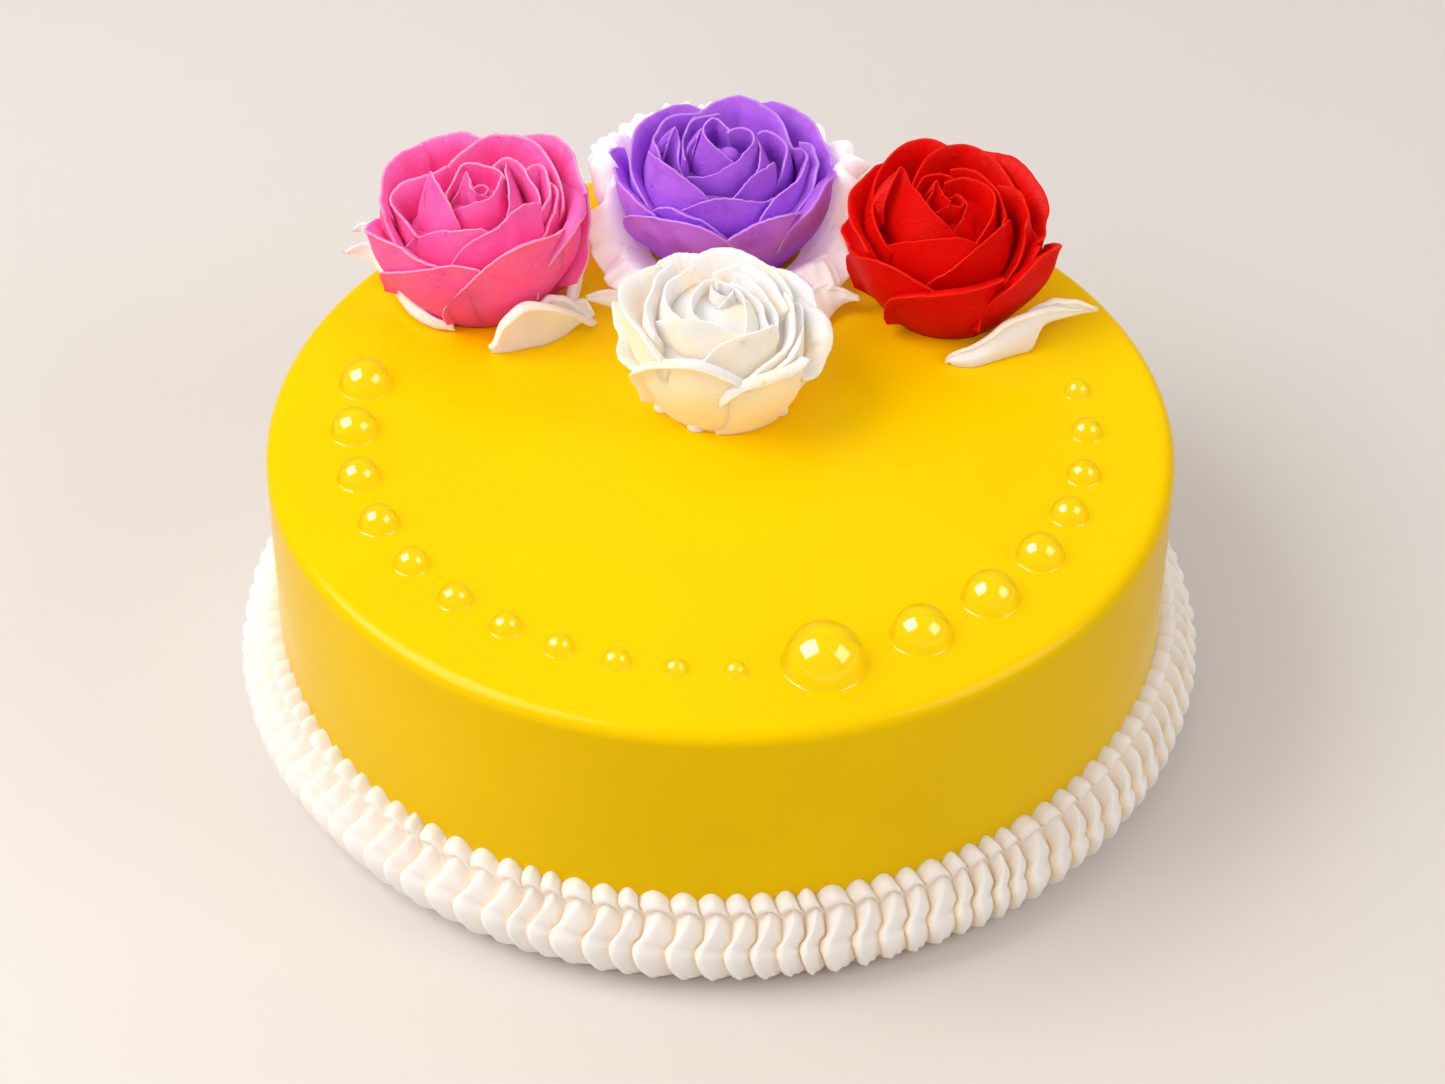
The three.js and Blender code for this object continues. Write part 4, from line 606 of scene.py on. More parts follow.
def even_path(points, count):
    """A smooth curve through points of azimuth, height and radius, with samples evenly spaced."""
    curve = smooth_weights(len(points), PETAL["path_steps"] * len(points)) @ np.array(points, float)
    turn, height, radius = curve.T
    place = polar(radius, turn, height)
    walked = np.concatenate([[0], np.cumsum(np.linalg.norm(np.diff(place, axis=0), axis=1))])
    even = np.linspace(0, walked[-1], count)
    return [np.interp(even, walked, column) for column in curve.T]


def petal_shape(petal, phase, rng):
    """One piped petal: lines run up from its root on its layer's round body to the points of its rim,
    spread by the share t of the way along the rim, and the body is stretched to pass through the rim.
    Near the rim the petal is thin and its lip curls out with the square of the way up, and a strong
    curl hangs over with its cube, fading to both ends by 1 - u^6; below it grows thicker towards its
    full thickness by 1 - exp(-depth / wedge). The rim is wavy by two sines of u and nibbled by three
    quick ones, and the foot stands out by 1 - v^4. The edge mark is 1 on the rim, falls to about 0
    within the rim's band and sinks to -1 at the root."""
    name, rim, curl, out = (*petal, *(None, 0)[len(petal) - 2:])
    layer = LAYERS[name]
    curl = curl or layer["curl"]
    azimuth, top, reach = even_path(rim, PETAL["columns"])
    crowded = 1 - np.linspace(1, 0, PETAL["rows"]) ** PETAL["crowd"]
    t, v = np.meshgrid(np.linspace(0, 1, PETAL["columns"]), crowded)
    u = 2 * t - 1

    def ripple(i):
        return np.sin(PETAL["wave_turns"][i] * u + PETAL["phase_steps"][i] * phase + i)

    turns = PETAL["nibble_turns"]
    nibbles = sum(np.sin(quick * t[0] + rng.uniform(0, FULL_TURN)) for quick in turns) / len(turns)
    stretch = reach / layer_radius(layer, top)
    low = np.minimum(layer["low"], top - PETAL["least_high"])
    height = mix(low, top + PETAL["nibble"] * nibbles, v)
    depth = (1 - v) * (top - low)
    lip = np.clip(1 - depth / PETAL["lip"], 0, 1)
    wave = PETAL["wave"] * (ripple(0) + PETAL["quick_wave"] * ripple(1)) * v**2
    body = layer_radius(layer, height) * mix(stretch.mean(), stretch, v)
    ends = 1 - u**6
    radius = body + wave - curl * (1 - lip**2) * v + out * (1 - v**4)
    middle, spread = (azimuth.max() + azimuth.min()) / 2, azimuth.max() - azimuth.min()
    turn = mix(middle + spread * PETAL["root_width"] * u / 2, azimuth, v)
    hang = PETAL["hang"] * max(curl - 1, 0) * lip**3 * ends
    outer = polar(radius, turn, height + PETAL["lip_rise"] * curl * np.sin(np.pi * lip) - hang)
    solid = 1 - np.exp(-depth / PETAL["wedge"])
    thickness = mix(PETAL["rim_thick"], layer["thick"], solid)
    # The edge mark carries the painted highlight on the rim and the painted shade towards the root
    edge = np.clip((v - 1 + PETAL["rim_band"]) / PETAL["rim_band"], 0, 1) - (1 - v)
    uv = np.stack([radius * np.radians(turn) + PETAL["stroke_shift"] * rng.random(), height], -1) * MM
    # The outer face carries the layer's share of the outer petals' painted light and shade
    return sheet_solid(outer, thickness, edge, uv, OUTER_LIGHT_SHARE.get(name, 0.0))


def set_on_cake(shape, at, sunk):
    """The shape moved to its place on the cake's top, its underside flattened where it is sunk in."""
    points = shape.points + np.array([*at, CAKE_HIGH.z / MM])
    points[:, 2] = np.maximum(points[:, 2], CAKE_HIGH.z / MM - sunk)
    return shape._replace(points=points)


def rose_shape(rose):
    """A rose: a solid core with its petals round it."""
    rng = np.random.default_rng(rose["phase"])
    parts = [lathe(CORE_PROFILE, SIDES["core"])]
    for x, y, size in rose.get("feet", ()):
        parts.append(lathe(even_profile(FOOT_PROFILE, STEPS["foot"]) * size, SIDES["foot"], (x, y, 0)))
    if "knob" in rose:
        parts.append(lathe(even_profile(KNOB_PROFILE, STEPS["knob"]), SIDES["knob"], (*rose["knob"], 0)))
    parts += [petal_shape(petal, 10 * rose["phase"] + i, rng) for i, petal in enumerate(rose["petals"])]
    return set_on_cake(joined(parts), rose["at"], sunk=0.2)


def uneven_starts(count, uneven, rng):
    """Where cells of uneven width round the axis start and where the last one ends, in degrees."""
    widths = 1 + uneven * rng.uniform(-1, 1, count)
    return np.concatenate([[0], np.cumsum(widths)]) * 360 / widths.sum()


def collar_shape(at):
    """The collar: a bowl's wall from under the rose out to its rim, which passes through the rim's
    points. With the share q of the way out, the wall spreads by q to the power spread and rises by a
    quarter sine up to its crest, and then rolls down in a lip that falls with the square of the way
    past it. Rounded lobes with sharp valleys, half sines to the power sharp, stand out of it more
    and more towards the rim; they swirl and sway round the bowl a little, and each reaches further
    out or less far. Small ripples that sway too cross it, growing with q squared. The edge mark is
    its shade, the larger of 0.9 (1 - fold)^1.5 and 1.2 - 1.6q."""
    rng = np.random.default_rng(COLLAR["seed"])
    turn, q = np.meshgrid(np.linspace(0, 360, COLLAR["columns"]), np.linspace(0, 1, COLLAR["rows"]))
    azimuth, height, reach = np.array(COLLAR["rim"], float).T
    rim, out = (np.interp(turn, azimuth, column, period=360) for column in (height, reach))
    slant = COLLAR["slant"] * q
    sway = COLLAR["sway"] * np.sin(slant + np.radians(COLLAR["sways"] * turn))
    along = (turn + (COLLAR["swirl"] * (1 - q) + sway)) % 360
    starts = uneven_starts(COLLAR["lobes"], COLLAR["uneven"], rng)
    cell = np.clip(np.searchsorted(starts, along, side="right") - 1, 0, COLLAR["lobes"] - 1)
    share = (along - starts[cell]) / (starts[cell + 1] - starts[cell])
    size = rng.uniform(*COLLAR["sizes"], COLLAR["lobes"])[cell]
    fold = np.sin(np.pi * share) ** COLLAR["sharp"]
    lobe = size * (fold - COLLAR["level"]) * q
    sway = COLLAR["ripple_sway"] * np.sin(np.radians(COLLAR["ripple_sways"] * turn))
    ripple = COLLAR["ripple"] * np.sin(np.radians(COLLAR["ripples"] * turn) + slant + sway) * q**2
    lip = COLLAR["lip"] * np.clip((q - 1 + COLLAR["roll"]) / COLLAR["roll"], 0, 1) ** 2
    rise = np.sin(np.pi / 2 * np.minimum(q / COLLAR["crest"], 1))
    wall = mix(COLLAR["inside"], out, q ** COLLAR["spread"])
    radius = wall + COLLAR["lobe_reach"] * lobe + COLLAR["ripple_reach"] * ripple
    wall = mix(COLLAR["thick"], rim + COLLAR["above_rim"], rise)
    z = wall + COLLAR["lobe_depth"] * lobe + ripple - lip
    outer = polar(radius, turn, np.maximum(z, COLLAR["least_high"]))
    thickness = mix(COLLAR["thick"], COLLAR["rim_thick"], q)
    # Painted shade mark: darkest in the valleys between the lobes and near the rose's foot
    shade = np.clip(np.maximum(0.9 * (1 - fold) ** 1.5, 1.2 - 1.6 * q), 0, 1)
    shape = sheet_solid(outer[:, ::-1], thickness, shade[:, ::-1], np.stack([turn, 30 * q], -1) * MM)
    return set_on_cake(shape, at, sunk=0.1)


def fold_shape(foot, crest, roll, swell):
    """One fold of a leaf. Across, it climbs in a line from its foot towards its crest, swollen forward
    by a half sine, and then rolls forward on an arc that ends hanging in front of it and is no wider
    than a third of its height. Along, the roll and the swelling grow and shrink with the root of a
    half sine. Its edge mark rises to 1 over the lip's last band."""
    rows, columns = LEAF["rows"], LEAF["columns"]
    lower = smooth_weights(len(foot), rows) @ np.array(foot, float)
    upper = smooth_weights(len(crest), rows) @ np.array(crest, float)
    s = np.linspace(0, 1, rows)
    full = np.sqrt(np.sin(np.pi * mix(0.01, 0.99, s)))
    rise = upper - lower
    height = np.linalg.norm(rise, axis=1)
    rise /= np.maximum(height, 1e-6)[:, None]
    front = np.cross(rise, np.gradient(lower + upper, axis=0))
    front /= np.maximum(np.linalg.norm(front, axis=1), 1e-6)[:, None]
    turned = (front @ LEAF["viewer"]).sum() < 0
    if turned:
        front = -front
    arc = np.minimum(roll * full, height / 3)[:, None]
    t = np.linspace(0, 1, columns)[None, :]
    straight = np.minimum(t / LEAF["flat"], 1)
    angle = LEAF["lip_turn"] * np.maximum(t - LEAF["flat"], 0) / (1 - LEAF["flat"])
    forward = swell * full[:, None] * np.sin(np.pi * straight) + arc * (1 - np.cos(angle))
    forward += LEAF["wave"] * straight * np.sin(2 * np.pi * LEAF["waves"] * s)[:, None]
    climbed = np.maximum((height[:, None] - arc - LEAF["thick"]) * straight + arc * np.sin(angle), 0)
    outer = lower[:, None] + rise[:, None] * climbed[..., None] + front[:, None] * forward[..., None]
    outer[..., 2] = np.maximum(outer[..., 2], 0)
    solid = full[:, None] * np.sin(np.pi * mix(0.02, 0.98, t)) ** 0.5
    thickness = mix(LEAF["rim_thick"], LEAF["thick"], solid)
    uv = np.stack(np.broadcast_arrays(t * 12, s[:, None] * 30), -1) * MM
    edge = np.clip((t - LEAF["rim_from"]) / LEAF["rim_band"], 0, 1)
    edge = np.broadcast_to(edge, thickness.shape)
    if turned:
        outer, thickness, uv = outer[::-1], thickness[::-1], uv[::-1]
    return sheet_solid(outer, thickness, edge, uv)


def leaf_shape(folds):
    """A leaf of its folds."""
    return set_on_cake(joined([fold_shape(*fold) for fold in folds]), (0, 0), sunk=0)


def cake_shape(sizes):
    """The cake: a turned body with a small chamfer at its foot and a rounded upper edge. The glaze is
    a little uneven. Its top sinks by top_wave (1 + slow), where slow is
    sin(0.031x + 0.7) sin(0.027y) + 0.6 sin(0.05(x - y) + 2), and three waves round the wall that
    shift with the height push it in and out. The edge mark is 1 on top and 0 on the wall."""
    radius, height, edge = (value / MM for value in (sizes.radius, sizes.height, sizes.edge))
    arc = np.linspace(0, np.pi / 2, CAKE["edge_steps"])
    climb = np.linspace(CAKE["chamfer_high"], height - edge, CAKE["wall_steps"])
    wall = [(radius, z) for z in climb[:-1]]
    fillet = [(radius - edge + edge * math.cos(a), height - edge + edge * math.sin(a)) for a in arc]
    top = [(r, height) for r in np.linspace(radius - edge, 2, CAKE["top_steps"])[1:]]
    profile = [(0, 0), (radius - CAKE["chamfer"], 0), *wall, *fillet, *top, (0, height)]
    shape = lathe(profile, CAKE["sides"])
    x, y, z = shape.points.T
    slow = np.sin(0.031 * x + 0.7) * np.sin(0.027 * y) + 0.6 * np.sin(0.05 * (x - y) + 2)
    on_top = np.clip((z - height + edge) / edge, 0, 1)
    side = CAKE["side_wave"] * np.sin(3 * np.arctan2(y, x) + 0.05 * z)
    scale = 1 + side * np.clip(z / 10, 0, 1) * (1 - on_top) / radius
    points = np.stack([x * scale, y * scale, z - CAKE["top_wave"] * (1 + slow) * on_top], -1)
    # The glaze paints the wall's shade by this edge mark, 1 on top and 0 on the wall
    return shape._replace(points=points, edge=on_top)


def rope_shape(sizes):
    """The rope: its section carried round the cake. Across each ruffle, with the share p, the section
    is pushed along its own normal: the push rises on a quarter circle from the ruffle's left edge to
    its crest and sinks slowly to its tail, which lies under the next ruffle. The ruffles lean by the
    section's own share of a ruffle, and their widths and depths are uneven. Between two ruffles the
    section sinks by its own number times |2p - 1| squared, with a smaller power in the valley, which
    so becomes a zigzag that flares out at its lower points. The tops tilt to one side, a shallow cut
    that grows by 1.6p - 0.2 crosses each ruffle at the waist, and tiny teeth stand at the feet. The
    edge mark is 1 in the creases between the ruffles and smaller along the top."""
    rng = np.random.default_rng(ROPE["seed"])
    section = smooth_path(ROPE_SECTION, ROPE["section_steps"])
    r, z, ruffled, lean, crest, sink = section.T
    crest = crest[:, None]
    tangent = np.stack([np.gradient(r), np.gradient(z)], -1)
    tangent /= np.linalg.norm(tangent, axis=-1, keepdims=True)
    count, each = sizes.ruffles, ROPE["columns_each"]
    starts = uneven_starts(count, ROPE["uneven"], rng)
    p = np.tile((np.arange(each) / each) ** ROPE["crowd"], count)
    ruffle = np.repeat(np.arange(count), each)
    azimuth = mix(starts[ruffle], starts[ruffle + 1], p)
    depth = sizes.ruffle_depth / MM * (1 + ROPE["uneven"] * rng.uniform(-1, 1, count))[ruffle]
    steep = np.sqrt(np.clip(1 - (1 - p / crest) ** 2, 0, 1))
    slow = 1 - (1 - ROPE["tail"]) * np.clip((p - crest) / (1 - crest), 0, 1) ** ROPE["tail_power"]
    push = ruffled[:, None] * depth * (np.where(p < crest, steep, slow) - ROPE["level"])

    def near(band):
        height, reach = ROPE[band]
        return np.exp(-(((z - height) / reach) ** 2))[:, None]

    valley, top = near("valley"), near("top")
    push = push - ROPE["waist_depth"] * near("waist") * np.clip(1.6 * p - 0.2, 0, 1)
    toothed = near("foot") * (ruffled > 0.3)[:, None]
    tooth = ROPE["tooth"] * np.cos(2 * np.pi * ROPE["teeth"] * p) * toothed
    border = np.abs(2 * p - 1) ** (2 - ROPE["point"] * valley)
    notch = sink[:, None] * border - ROPE["tilt"] * top * (0.5 - p)
    radius = r[:, None] + tangent[:, 1, None] * push + tooth + ROPE["flare"] * valley * border
    height = np.clip(z[:, None] - tangent[:, 0, None] * push - notch, 0, ROPE_HIGH.z / MM)
    radius = np.minimum(radius, ROPE_HIGH.x / MM)
    # The crease mark is where the cream gets a warm painted shade: in the creases between the ruffles and,
    # fainter, along the top
    creased = np.clip(1 - np.minimum(p, 1 - p) / ROPE["crease"], 0, 1)
    crease = np.maximum(creased * np.clip(2 * ruffled, 0, 1)[:, None], ROPE["top_crease"] * top)
    return ring_shape(polar(radius, azimuth + lean[:, None] * 360 / count, height), crease)


def drop_shape(azimuth, radius, ring):
    """A drop: its profile turned round its own axis, smoothed between its points, on the ring."""
    turn = math.radians(azimuth)
    at = (ring * math.cos(turn), ring * math.sin(turn), CAKE_HIGH.z / MM)
    return lathe(even_profile(DROP_PROFILE, STEPS["drop"]) * radius, SIDES["drop"], at)


def make_piece(name, shape, material, nodes):
    """A mesh object of a shape that stands for its CAD nodes and takes its finish from a slot."""
    mesh = bpy.data.meshes.new(name)
    faces = shape.quads.tolist() + shape.triangles.tolist()
    mesh.from_pydata((shape.points * MM).tolist(), [], faces)
    mesh.polygons.foreach_set("use_smooth", np.ones(len(mesh.polygons), bool))
    for mark, values in (("edge", shape.edge), ("outer", shape.outer)):
        attribute = mesh.attributes.new(mark, "FLOAT", "POINT")
        attribute.data.foreach_set("value", values.astype(np.float32))
    corners = np.zeros(len(mesh.loops), np.int32)
    mesh.loops.foreach_get("vertex_index", corners)
    layer = mesh.uv_layers.new(name="along")
    layer.data.foreach_set("uv", shape.uv[corners].astype(np.float32).ravel())
    mesh.materials.append(material)
    mesh.update()
    piece = bpy.data.objects.new(name, mesh)
    bpy.context.scene.collection.objects.link(piece)
    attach(piece, "root")
    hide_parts(*nodes)


def new_material(name, roughness, subsurface=0.0, radius=(1, 0.6, 0.5), scale=2.0):
    """A material with its shader's constants set, its node tree, its shader and the object
    coordinates for its patterns. The scale is how deep light goes, in millimetres."""
    material = bpy.data.materials.new(name)
    material.use_nodes = True
    shader = material.node_tree.nodes["Principled BSDF"]
    shader.inputs["Roughness"].default_value = roughness
    shader.inputs["Subsurface Weight"].default_value = subsurface
    shader.inputs["Subsurface Radius"].default_value = radius
    shader.inputs["Subsurface Scale"].default_value = scale * MM
    place = material.node_tree.nodes.new("ShaderNodeTexCoord").outputs["Object"]
    return material, material.node_tree, shader, place


def mark_factor(tree, name):
    """A mark that the mesh carries on its points, as a factor."""
    mark = tree.nodes.new("ShaderNodeAttribute")
    mark.attribute_name = name
    return mark.outputs["Fac"]


def add_noise(tree, source, scale, detail, stretch=(1, 1, 1)):
    """A noise pattern on the given coordinates, stretched along them."""
    mapping = tree.nodes.new("ShaderNodeMapping")
    mapping.inputs["Scale"].default_value = stretch
    tree.links.new(source, mapping.inputs["Vector"])
    noise = tree.nodes.new("ShaderNodeTexNoise")
    noise.inputs["Scale"].default_value = scale
    noise.inputs["Detail"].default_value = detail
    tree.links.new(mapping.outputs["Vector"], noise.inputs["Vector"])
    return noise.outputs["Fac"]


def add_bump(tree, shader, height, strength, distance, before=None):
    """Bump from a height, laid over an earlier bump."""
    bump = tree.nodes.new("ShaderNodeBump")
    bump.inputs["Strength"].default_value = strength
    bump.inputs["Distance"].default_value = distance * MM
    tree.links.new(height, bump.inputs["Height"])
    if before:
        tree.links.new(before, bump.inputs["Normal"])
    tree.links.new(bump.outputs["Normal"], shader.inputs["Normal"])
    return bump.outputs["Normal"]


def blend_colours(tree, factor, first, second):
    """A colour that goes from first to second with the factor; each is a colour or a socket."""
    blend = tree.nodes.new("ShaderNodeMix")
    blend.data_type = "RGBA"
    tree.links.new(factor, blend.inputs["Factor"])
    for name, colour in (("A", first), ("B", second)):
        socket = next(s for s in blend.inputs if s.name == name and s.type == "RGBA")
        if isinstance(colour, bpy.types.NodeSocket):
            tree.links.new(colour, socket)
        else:
            socket.default_value = (*colour, 1)
    return next(s for s in blend.outputs if s.type == "RGBA")


def ramp(tree, source, low, high):
    """The source spread so that low becomes 0 and high becomes 1."""
    spread = tree.nodes.new("ShaderNodeMapRange")
    spread.inputs["From Min"].default_value = low
    spread.inputs["From Max"].default_value = high
    tree.links.new(source, spread.inputs["Value"])
    return spread.outputs["Result"]


def glaze_material(colours):
    """Yellow mirror glaze: glossy, with painted shade that makes it darker down the wall than on the
    top, and a faint unevenness of colour and surface."""
    material, tree, shader, place = new_material("mirror_glaze", 0.2)
    shader.inputs["Specular IOR Level"].default_value = 0.04
    # Painted shade: the wall is painted 0.78 as bright as the top, following the edge mark
    wall = tuple(value * 0.78 for value in colours.glaze)
    body = blend_colours(tree, mark_factor(tree, "edge"), wall, colours.glaze)
    cloud = ramp(tree, add_noise(tree, place, 14, 3), 0.35, 0.9)
    deep = tuple(value * 0.9 for value in colours.glaze)
    tree.links.new(blend_colours(tree, cloud, body, deep), shader.inputs["Base Color"])
    slow = add_bump(tree, shader, add_noise(tree, place, 45, 2), 0.25, 0.3)
    add_bump(tree, shader, add_noise(tree, place, 900, 2), 0.06, 0.05, slow)
    return material


def petal_material(name, colour, rim, deep, outer_light_and_shade, radius, roughness, subsurface, shine, glow):
    """Piped cream of one colour, deeper in patches, with fine strokes up each petal that are lightened
    towards the rim colour. Light and shade are painted on it: a painted highlight along the thin rims,
    painted shade towards the roots, painted light and shade on the outer petals and small pits painted
    dark with the shade inside them. A glow, where one is given, is painted light."""
    material, tree, shader, place = new_material(name, roughness, subsurface, radius, 2.4)
    shader.inputs["Specular IOR Level"].default_value = shine
    along = tree.nodes.new("ShaderNodeUVMap")
    along.uv_map = "along"
    edge, outer = mark_factor(tree, "edge"), mark_factor(tree, "outer")
    # Painted light and shade on the outer petals: lighter on the purple, warmed by the glaze's yellow on the
    # pink and white, darker on the red
    body = blend_colours(tree, outer, colour, outer_light_and_shade)
    # Painted shade: darker towards the roots, deep between the petals
    body = blend_colours(tree, ramp(tree, edge, -0.1, -0.8), body, deep)
    cloud = ramp(tree, add_noise(tree, place, 130, 4), 0.45, 0.85)
    body = blend_colours(tree, cloud, body, deep)
    strokes = add_noise(tree, along.outputs["UV"], 1, 3, (2200, 420, 1))
    body = blend_colours(tree, ramp(tree, strokes, 0.55, 1.1), body, rim)
    # Small dented pits, painted darker as the shade inside them
    pits = ramp(tree, add_noise(tree, place, 700, 1), 0.72, 0.8)
    body = blend_colours(tree, pits, body, tuple(value * 0.82 for value in deep))
    # Painted highlight: the thin rims lighter where light catches them
    body = blend_colours(tree, edge, body, rim)
    tree.links.new(body, shader.inputs["Base Color"])
    # The glow is painted light: the petals light themselves with their own colour
    if glow:
        tree.links.new(body, shader.inputs["Emission Color"])
        shader.inputs["Emission Strength"].default_value = glow
    first = add_bump(tree, shader, strokes, 0.75, 0.2)
    second = add_bump(tree, shader, add_noise(tree, place, 1300, 3), 0.4, 0.1, first)
    add_bump(tree, shader, pits, -0.4, 0.06, second)
    return material


def cream_material(name, colour, deep, subsurface, scale, crease=None, glow=0.0):
    """Whipped cream: satin white with soft light inside it, deeper in patches, with a fine uneven
    surface. Where a crease colour is given, it is painted shade laid on where the edge mark is high.
    The glow is painted light: the cream lights itself with its own colour, which stands for the light
    that thin cream passes on between its folds."""
    material, tree, shader, place = new_material(name, 0.5, subsurface, (1, 0.9, 0.8), scale)
    shader.inputs["Specular IOR Level"].default_value = 0.08
    # The glow is painted light: the cream lights itself with its own colour
    shader.inputs["Emission Strength"].default_value = glow
    cloud = ramp(tree, add_noise(tree, place, 60, 3), 0.4, 0.75)
    body = blend_colours(tree, cloud, colour, deep)
    if crease:
        # Painted shade: the crease colour where the edge mark is high
        body = blend_colours(tree, mark_factor(tree, "edge"), body, crease)
    tree.links.new(body, shader.inputs["Base Color"])
    tree.links.new(body, shader.inputs["Emission Color"])
    first = add_bump(tree, shader, add_noise(tree, place, 260, 3), 0.2, 0.25)
    add_bump(tree, shader, add_noise(tree, place, 1400, 2), 0.12, 0.05, first)
    return material


def jelly_material(colours):
    """Clear jelly: syrup-bright highlights over the glaze that shows through, with a painted dark outline
    where its side is seen at a slant, for the light that the drop bends away there."""
    material, tree, shader, place = new_material("clear_jelly", 0.03)
    shader.inputs["Alpha"].default_value = 0.3
    shader.inputs["IOR"].default_value = 1.4
    shader.inputs["Specular IOR Level"].default_value = 1
    shader.inputs["Coat Weight"].default_value = 1
    shader.inputs["Coat IOR"].default_value = 1.65
    # Painted shade: a dark orange outline where the side is seen at a slant
    slant = tree.nodes.new("ShaderNodeLayerWeight")
    slant.inputs["Blend"].default_value = 0.5
    side = ramp(tree, slant.outputs["Facing"], 0.35, 0.8)
    colour = blend_colours(tree, side, colours.jelly, (0.42, 0.13, 0.0))
    tree.links.new(colour, shader.inputs["Base Color"])
    add_bump(tree, shader, add_noise(tree, place, 260, 2), 0.04, 0.1)
    return material


def floor_material():
    """Plain pale stone-coloured paper."""
    material, tree, shader, place = new_material("pale_floor", 0.6)
    cloud = ramp(tree, add_noise(tree, place, 3, 2), 0.3, 0.7)
    paper = blend_colours(tree, cloud, (0.72, 0.675, 0.64), (0.7, 0.645, 0.6))
    tree.links.new(paper, shader.inputs["Base Color"])
    return material


class CakeSettings(bpy.types.PropertyGroup):
    """Sizes and colours of the cake and of what lies on it."""

    radius: FloatProperty(name="Cake radius", description="Radius of the glazed cake",
                          default=CAKE_HIGH.x, min=0.05, unit="LENGTH")
    height: FloatProperty(name="Cake height", description="Height of the glazed cake",
                          default=CAKE_HIGH.z, min=0.02, unit="LENGTH")
    edge: FloatProperty(name="Edge radius", description="Radius of the rounded upper edge",
                        default=3.5 * MM, min=MM, unit="LENGTH")
    ruffles: IntProperty(name="Ruffles", description="Ruffles of the rope round the foot",
                         default=ROPE["ruffles"], min=12)
    ruffle_depth: FloatProperty(name="Ruffle depth",
                                description="How far a ruffle stands out of its valleys",
                                default=ROPE["depth"] * MM, min=0, unit="LENGTH")
    drop_ring: FloatProperty(name="Ring of drops", description="Radius of the ring that the drops lie on",
                             default=80.5 * MM, min=0, unit="LENGTH")
    glaze: FloatVectorProperty(name="Glaze", description="Colour of the mirror glaze",
                               default=(1.0, 0.62, 0.0), subtype="COLOR", min=0, max=1)
    jelly: FloatVectorProperty(name="Jelly", description="Colour of the clear drops",
                               default=(1.0, 0.98, 0.0), subtype="COLOR", min=0, max=1)
    pink: FloatVectorProperty(name="Pink", description="Colour of the pink rose",
                              default=(1.0, 0.15, 0.5), subtype="COLOR", min=0, max=1)
    purple: FloatVectorProperty(name="Purple", description="Colour of the purple rose",
                                default=(0.46, 0.125, 0.76), subtype="COLOR", min=0, max=1)
    red: FloatVectorProperty(name="Red", description="Colour of the red rose",
                             default=(0.78, 0.004, 0.002), subtype="COLOR", min=0, max=1)
    cream: FloatVectorProperty(name="Cream", description="Colour of the white cream",
                               default=(0.9, 0.855, 0.81), subtype="COLOR", min=0, max=1)


class CAKE_OT_glazed_body(bpy.types.Operator):
    """Builds the glazed cake"""

    bl_idname = "cake.glazed_body"
    bl_label = "Glazed cake"

    def execute(self, context):
        settings = context.scene.flower_cake
        make_piece("glazed_cake", cake_shape(settings), glaze_material(settings), ["cake_body"])
        return {"FINISHED"}


class CAKE_OT_piped_rope(bpy.types.Operator):
    """Pipes the rope of cream round the cake's foot"""

    bl_idname = "cake.piped_rope"
    bl_label = "Piped rope"

    def execute(self, context):
        settings = context.scene.flower_cake
        deep = tuple(value * 0.95 for value in settings.cream)
        # The crease colour is a warm painted shade in the rope's creases
        material = cream_material("rope_cream", settings.cream, deep, subsurface=0.35, scale=2.5,
                                  crease=(1.0, 0.8, 0.58))
        make_piece("piped_rope", rope_shape(settings), material, ["rope_border"])
        return {"FINISHED"}


class CAKE_OT_ruffled_collar(bpy.types.Operator):
    """Pipes the collar under the purple rose"""

    bl_idname = "cake.ruffled_collar"
    bl_label = "Ruffled collar"

    def execute(self, context):
        # Painted light: a pinkish-mauve painted shade with the purple rose's reflected colour in the valleys
        # and near the rose, and a glow that lifts the collar's shade
        material = cream_material("collar_cream", (1.0, 0.97, 0.96), (1.0, 0.95, 0.94),
                                  subsurface=0.8, scale=3, crease=(0.93, 0.62, 0.8), glow=0.19)
        shape = collar_shape(ROSES["purple"]["at"])
        make_piece("ruffled_collar", shape, material, ["rose_collar"])
        return {"FINISHED"}


class CAKE_OT_piped_roses(bpy.types.Operator):
    """Pipes the four roses"""

    bl_idname = "cake.piped_roses"
    bl_label = "Piped roses"

    def execute(self, context):
        settings = context.scene.flower_cake
        colours = {
            "pink": settings.pink, "purple": settings.purple, "white": WHITE_CREAM, "red": settings.red,
        }
        for name, rose in ROSES.items():
            material = petal_material(name + "_petals", colours[name], **FINISHES[name])
            make_piece("piped_rose_" + name, rose_shape(rose), material, ["rose_" + name])
        return {"FINISHED"}


class CAKE_OT_pale_leaves(bpy.types.Operator):
    """Pipes the leaves beside the roses"""

    bl_idname = "cake.pale_leaves"
    bl_label = "Pale leaves"

    def execute(self, context):
        # The glow is painted light that lifts the leaves' shade
        material = cream_material("leaf_cream", (0.99, 0.97, 0.94), (0.99, 0.93, 0.8),
                                  subsurface=0.7, scale=4, glow=0.08)
        for name, leaf in LEAVES.items():
            make_piece("pale_leaf_" + name, leaf_shape(leaf), material, ["leaf_" + name])
        return {"FINISHED"}


class CAKE_OT_jelly_drops(bpy.types.Operator):
    """Sets the clear drops along the cake's upper edge"""

    bl_idname = "cake.jelly_drops"
    bl_label = "Jelly drops"

    def execute(self, context):
        settings = context.scene.flower_cake
        material = jelly_material(settings)
        for i, (azimuth, radius) in enumerate(DROPS, 1):
            shape = drop_shape(azimuth, radius, settings.drop_ring / MM)
            make_piece(f"jelly_drop_{i:02d}", shape, material, [f"drop_{i:02d}"])
        return {"FINISHED"}


